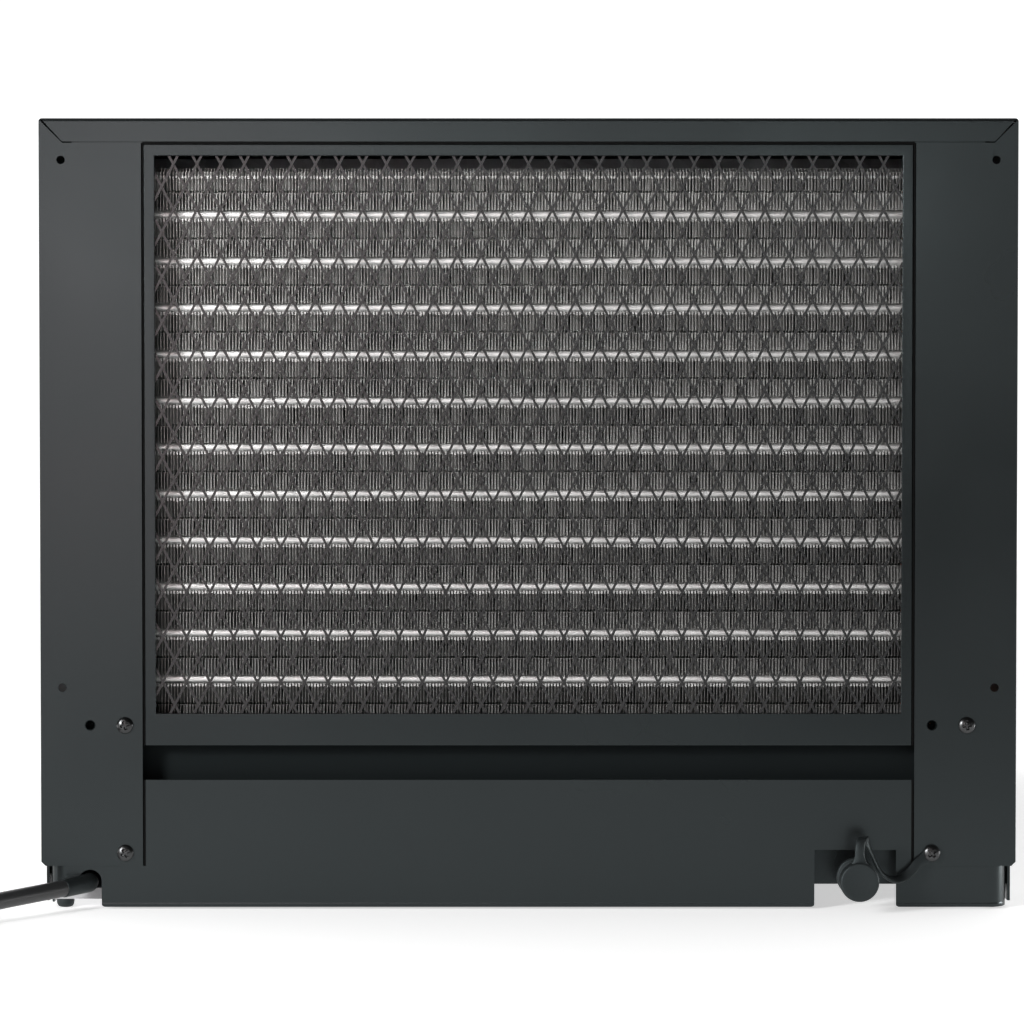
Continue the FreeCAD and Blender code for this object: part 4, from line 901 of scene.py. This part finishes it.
def make_strap():
    """Strap that rises from the cap, folds back, hangs in a twisted loop and ends under a screw."""
    root = Vector((cap_middle.x, cover_low.y, cap_middle.z))
    places, widths, turns = zip(*STRAP)
    line = smooth_line([root + Vector(place) * MM for place in places], STRAP_STEPS)
    turns = smooth_line([Vector(turn).normalized() for turn in turns], STRAP_STEPS)
    widths = smooth_line([Vector((wide * MM, 0, 0)) for wide in widths], STRAP_STEPS)
    sections = []
    for k, middle in enumerate(line):
        along = (line[min(k + 1, len(line) - 1)] - line[max(k - 1, 0)]).normalized()
        across = (turns[k] - along * turns[k].dot(along)).normalized()
        sections.append(strap_section(middle, along, across, widths[k].x, TETHER_THICK))
    piece = swept("drain_strap", sections, None, "black_rubber", RUBBER_SHARP)
    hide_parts("drain_tether")
    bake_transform(piece)


make_cap()
make_strap()


# Cord boot, feet, plug and tie

BOOT_SIDES = 40
BOOT_TURN = (-1.0, 6.0)

# Boot stations: distance along the cord from the apron, then radius, in millimetres
BOOT = [
    (-4.5, 4.2), (-2.0, 4.2), (0.0, 4.2), (3.0, 4.17), (6.0, 4.13), (9.0, 4.09), (12.0, 4.05),
    (14.8, 4.0), (15.6, 3.96), (15.9, 3.9), (16.0, 3.8),
]


def circle_about(middle, along, radius, count):
    """Points of a circle across a direction."""
    side = along.cross(Vector((0, 0, 1))).normalized()
    up = side.cross(along).normalized()
    return [middle + (side * math.cos(a) + up * math.sin(a)) * radius for a in turn_angles(count)]


def boot_place(distance):
    """Point and direction on the boot's middle line, through the apron and then along the cord."""
    straight = Vector((0, -1, 0))
    if distance < 0:
        return CORD_EXIT + straight * distance * MM, straight
    along = straight.lerp(CORD_HEADING, ease(distance, *BOOT_TURN)).normalized()
    return CORD_EXIT + CORD_HEADING * distance * MM, along


def make_boot():
    """Slim tapered strain relief that leans in the apron's hole."""
    sections = [
        circle_about(*boot_place(distance), radius * MM, BOOT_SIDES) for distance, radius in BOOT
    ]
    piece = swept("cord_boot_sleeve", sections, "chassis", "black_rubber", RUBBER_SHARP)
    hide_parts("cord_boot")


make_boot()

FOOT_R = 4.0 * MM
FOOT_SIDES = 32

# Foot stations up to its straight wall: radius and height in millimetres
FOOT = [(0.8, 0), (2.1, 0), (3.0, 0.25), (3.6, 0.9), (3.9, 1.8), (4.0, 2.8)]

feet_low, feet_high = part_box("feet")


def make_feet():
    """Four round rubber feet with domed soles."""
    heap = Heap()
    profile = [(radius * MM, z * MM) for radius, z in FOOT] + [(FOOT_R, feet_high.z)]
    for x in (feet_low.x + FOOT_R, feet_high.x - FOOT_R):
        for y in (feet_low.y + FOOT_R, feet_high.y - FOOT_R):
            heap.strip([
                [
                    (x + radius * math.cos(a), y + radius * math.sin(a), z)
                    for a in turn_angles(FOOT_SIDES)
                ]
                for radius, z in profile
            ])
    piece = add_piece("rubber_feet", heap.points, heap.faces, "chassis", "black_rubber")
    smoothed(piece, RUBBER_SHARP)
    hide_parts("feet")


make_feet()

PLUG_SIDES = 48

# Plug stations: share of its length, half width and half thickness in millimetres, squareness
PLUG = [
    (0.0, 4.4, 4.4, 2.0), (0.02, 5.2, 5.2, 2.0), (0.07, 5.2, 5.2, 2.0), (0.085, 4.6, 4.6, 2.0),
    (0.11, 4.6, 4.6, 2.0), (0.125, 5.6, 5.4, 2.0), (0.17, 5.6, 5.4, 2.0), (0.185, 4.9, 4.8, 2.0),
    (0.21, 4.9, 4.8, 2.0), (0.225, 6.2, 5.8, 2.2), (0.29, 6.6, 6.0, 2.4), (0.36, 9.4, 7.2, 2.8),
    (0.43, 11.8, 8.1, 3.2), (0.52, 12.7, 8.6, 3.6), (0.62, 12.4, 8.4, 3.8), (0.74, 12.3, 8.4, 4.0),
    (0.86, 12.8, 8.7, 4.2), (0.965, 12.9, 8.75, 4.4), (0.99, 12.6, 8.5, 4.4), (1.0, 11.9, 7.9, 4.4),
]

plug_low, plug_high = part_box("plug_body")


def squared(value, square):
    """Cosine or sine of a rounded square, 2 being a circle."""
    return math.copysign(abs(value) ** (2 / square), value)


def make_plug():
    """Moulded plug with a ringed neck and a waisted grip."""
    middle = (plug_low + plug_high) / 2
    sections = []
    for share, half_w, half_t, square in PLUG:
        y = plug_low.y + (plug_high.y - plug_low.y) * share
        section = []
        for a in turn_angles(PLUG_SIDES):
            u = squared(math.cos(a), square) * half_w * MM
            v = squared(math.sin(a), square) * half_t * MM
            section.append((middle.x + u, y, middle.z + v))
        sections.append(section)
    piece = swept("moulded_plug", sections, "chassis", "cord_jacket", RUBBER_SHARP)
    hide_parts("plug_body")
    return piece


TIE_ANGLE = math.radians(70)
TIE_WIDE = 9.0 * MM
TIE_THICK = 0.8 * MM
TIE_GAP = 0.5 * MM
TIE_BASE = 0.4 * MM
TIE_LOWEST = 0.45 * MM
TIE_STEPS = 6


def tie_loop():
    """Distance from the coil's middle and height of points round its turns."""
    low = COIL_MEAN_R - 3 * CORD_R
    high = COIL_MEAN_R + 3 * CORD_R
    top = 4 * CORD_R
    reach = CORD_R + TIE_GAP
    corners = [
        (high - CORD_R, TIE_BASE + CORD_R, -90), (high - CORD_R, top - CORD_R, 0),
        (low + CORD_R, top - CORD_R, 90), (low + CORD_R, TIE_BASE + CORD_R, 180),
    ]
    loop = []
    for r, z, turn in corners:
        for swing in arc_angles(math.pi / 2, TIE_STEPS):
            a = math.radians(turn) + swing
            loop.append((r + reach * math.cos(a), max(z + reach * math.sin(a), TIE_LOWEST)))
    return loop


def make_tie():
    """Flat strap round the coil's turns."""
    out = Vector((math.cos(TIE_ANGLE), math.sin(TIE_ANGLE), 0))
    along = Vector((-out.y, out.x, 0))
    places = [out * r + Vector((0, 0, z)) for r, z in tie_loop()]
    sections = []
    for k, place in enumerate(places):
        way = (places[(k + 1) % len(places)] - places[k - 1]).normalized()
        sections.append(strap_section(coil_centre + place, way, along, TIE_WIDE, TIE_THICK))
    faces = loop_faces(len(sections), len(sections[0]))
    return add_piece("cord_tie", joined_rings(sections), faces, "chassis", "black_rubber")


plug = make_plug()
tie = make_tie()


# Softened edges on the sheet metal and mouldings

SHEET_EDGE = 0.3 * MM
MOULDED_EDGE = 0.6 * MM
BUTTON_EDGE = 0.8 * MM
EDGE_STEPS = 2
BUTTON_STEPS = 3
EDGE_ANGLE = math.radians(40)
FLAT_ANGLE = math.radians(1)
WELD_REACH = 0.002 * MM
NORMAL_WEIGHT = 100


def soften(name, width, segments=EDGE_STEPS, joined=False):
    """Rounds the sharp edges of a CAD node by modifiers; joined merges flat triangles first."""
    modifiers = NODES[name].modifiers
    modifiers.new("weld", "WELD").merge_threshold = WELD_REACH
    if joined:
        flat = modifiers.new("flat", "DECIMATE")
        flat.decimate_type = "DISSOLVE"
        flat.angle_limit = FLAT_ANGLE
    bevel = modifiers.new("bevel", "BEVEL")
    bevel.width = width
    bevel.segments = segments
    bevel.limit_method = "ANGLE"
    bevel.angle_limit = EDGE_ANGLE
    modifiers.new("normals", "WEIGHTED_NORMAL").weight = NORMAL_WEIGHT


for name in ("outer_cover", "grille_panel", "rear_apron"):
    soften(name, SHEET_EDGE)
soften("front_panel", SHEET_EDGE, joined=True)
for name in ("outlet_louvres", "intake_bezel", "intake_door", "control_fascia"):
    soften(name, MOULDED_EDGE)
for name in ("button_power", "button_mode", "button_cooler", "button_warmer"):
    soften(name, BUTTON_EDGE, BUTTON_STEPS)


# Floor and light

FLOOR_REACH = 3.2
FLOOR_LOW = (0.88, 0.88, 0.88)
FLOOR_HIGH = (0.92, 0.92, 0.92)
FLOOR_PATCH = 1.5
FLOOR_ROUGH = 0.8
FLOOR_GLOW = 0.54
FLOOR_DIM = 0.05
FLOOR_DIM_Y = -1.1
FLOOR_GLOW_Y = -0.66
WORLD_DARK = 0.03
WORLD_BRIGHT = 1.15
WORLD_DARK_Y = -0.1
WORLD_BRIGHT_Y = 0.4
FULL_BEAM = 180

# Lights: place, aim, width and height, watts, beam in degrees, tint
LIGHTS = {
    "key": ((-1.47, -1.94, 0.64), (-0.05, -0.31, 0.22), (0.42, 0.42), 33, FULL_BEAM, WHITE),
    "near_key": ((-0.71, -1.10, 0.48), (-0.12, -0.31, 0.31), (0.26, 0.26), 0.75, 55, WHITE),
    "side_box": (
        (-0.42, -2.6, 0.42), (-0.18, -0.32, 0.3), (0.35, 0.78), 1.85, FULL_BEAM, (1.28, 1.0, 1.0)
    ),
    "high_strip": ((0.05, -2.6, 0.43), (0.05, -0.32, 0.3), (1.1, 0.16), 2.15, FULL_BEAM, WHITE),
    "right_end": (
        (0.62, -0.30, 0.03), (0.2145, -0.316, 0.012), (0.2, 0.08), 1.3, FULL_BEAM, WHITE
    ),
    "left_end": (
        (-0.62, -0.30, 0.03), (-0.2145, -0.316, 0.012), (0.2, 0.08), 0.5, FULL_BEAM, WHITE
    ),
}


def make_floor():
    """Wide pale floor that glows from a little before the unit backwards, as a lit table does."""
    size = FLOOR_REACH
    corners = [(-size, -size, 0), (size, -size, 0), (size, size, 0), (-size, size, 0)]
    mesh = bpy.data.meshes.new("floor")
    mesh.from_pydata(corners, [], [(0, 1, 2, 3)])
    material, tree, shader, place = new_material("floor_white")
    colour = ramp(tree, noise(tree, place, FLOOR_PATCH), FLOOR_LOW, FLOOR_HIGH)
    depth = part_of(tree, place, "Y")
    glow = remap(tree, depth, FLOOR_DIM, FLOOR_GLOW, FLOOR_DIM_Y, FLOOR_GLOW_Y)
    tree.links.new(colour, shader.inputs["Base Color"])
    tree.links.new(glow, shader.inputs["Emission Strength"])
    shader.inputs["Roughness"].default_value = FLOOR_ROUGH
    shader.inputs["Emission Color"].default_value = (*WHITE, 1)
    mesh.materials.append(material)
    floor = bpy.data.objects.new("floor", mesh)
    bpy.context.scene.collection.objects.link(floor)


def area_light(name, place, aim, size, power, beam, tint):
    """Rectangular soft light that faces a point."""
    data = bpy.data.lights.new(name, "AREA")
    data.shape = "RECTANGLE"
    data.size, data.size_y = size
    data.energy = power
    data.color = tint
    data.spread = math.radians(beam)
    lamp = bpy.data.objects.new(name, data)
    lamp.location = place
    lamp.rotation_euler = (Vector(aim) - Vector(place)).to_track_quat("-Z", "Y").to_euler()
    bpy.context.scene.collection.objects.link(lamp)


def make_world():
    """White surroundings, bright behind the unit and dark behind the camera."""
    world = bpy.data.worlds.new("studio")
    world.use_nodes = True
    tree = world.node_tree
    direction = tree.nodes.new("ShaderNodeTexCoord").outputs["Generated"]
    depth = part_of(tree, direction, "Y")
    strength = remap(tree, depth, WORLD_DARK, WORLD_BRIGHT, WORLD_DARK_Y, WORLD_BRIGHT_Y)
    background = tree.nodes["Background"]
    tree.links.new(strength, background.inputs["Strength"])
    background.inputs["Color"].default_value = (*WHITE, 1)
    bpy.context.scene.world = world


make_floor()
for name, light in LIGHTS.items():
    area_light(name, *light)
make_world()
bpy.context.scene.view_settings.view_transform = "Standard"
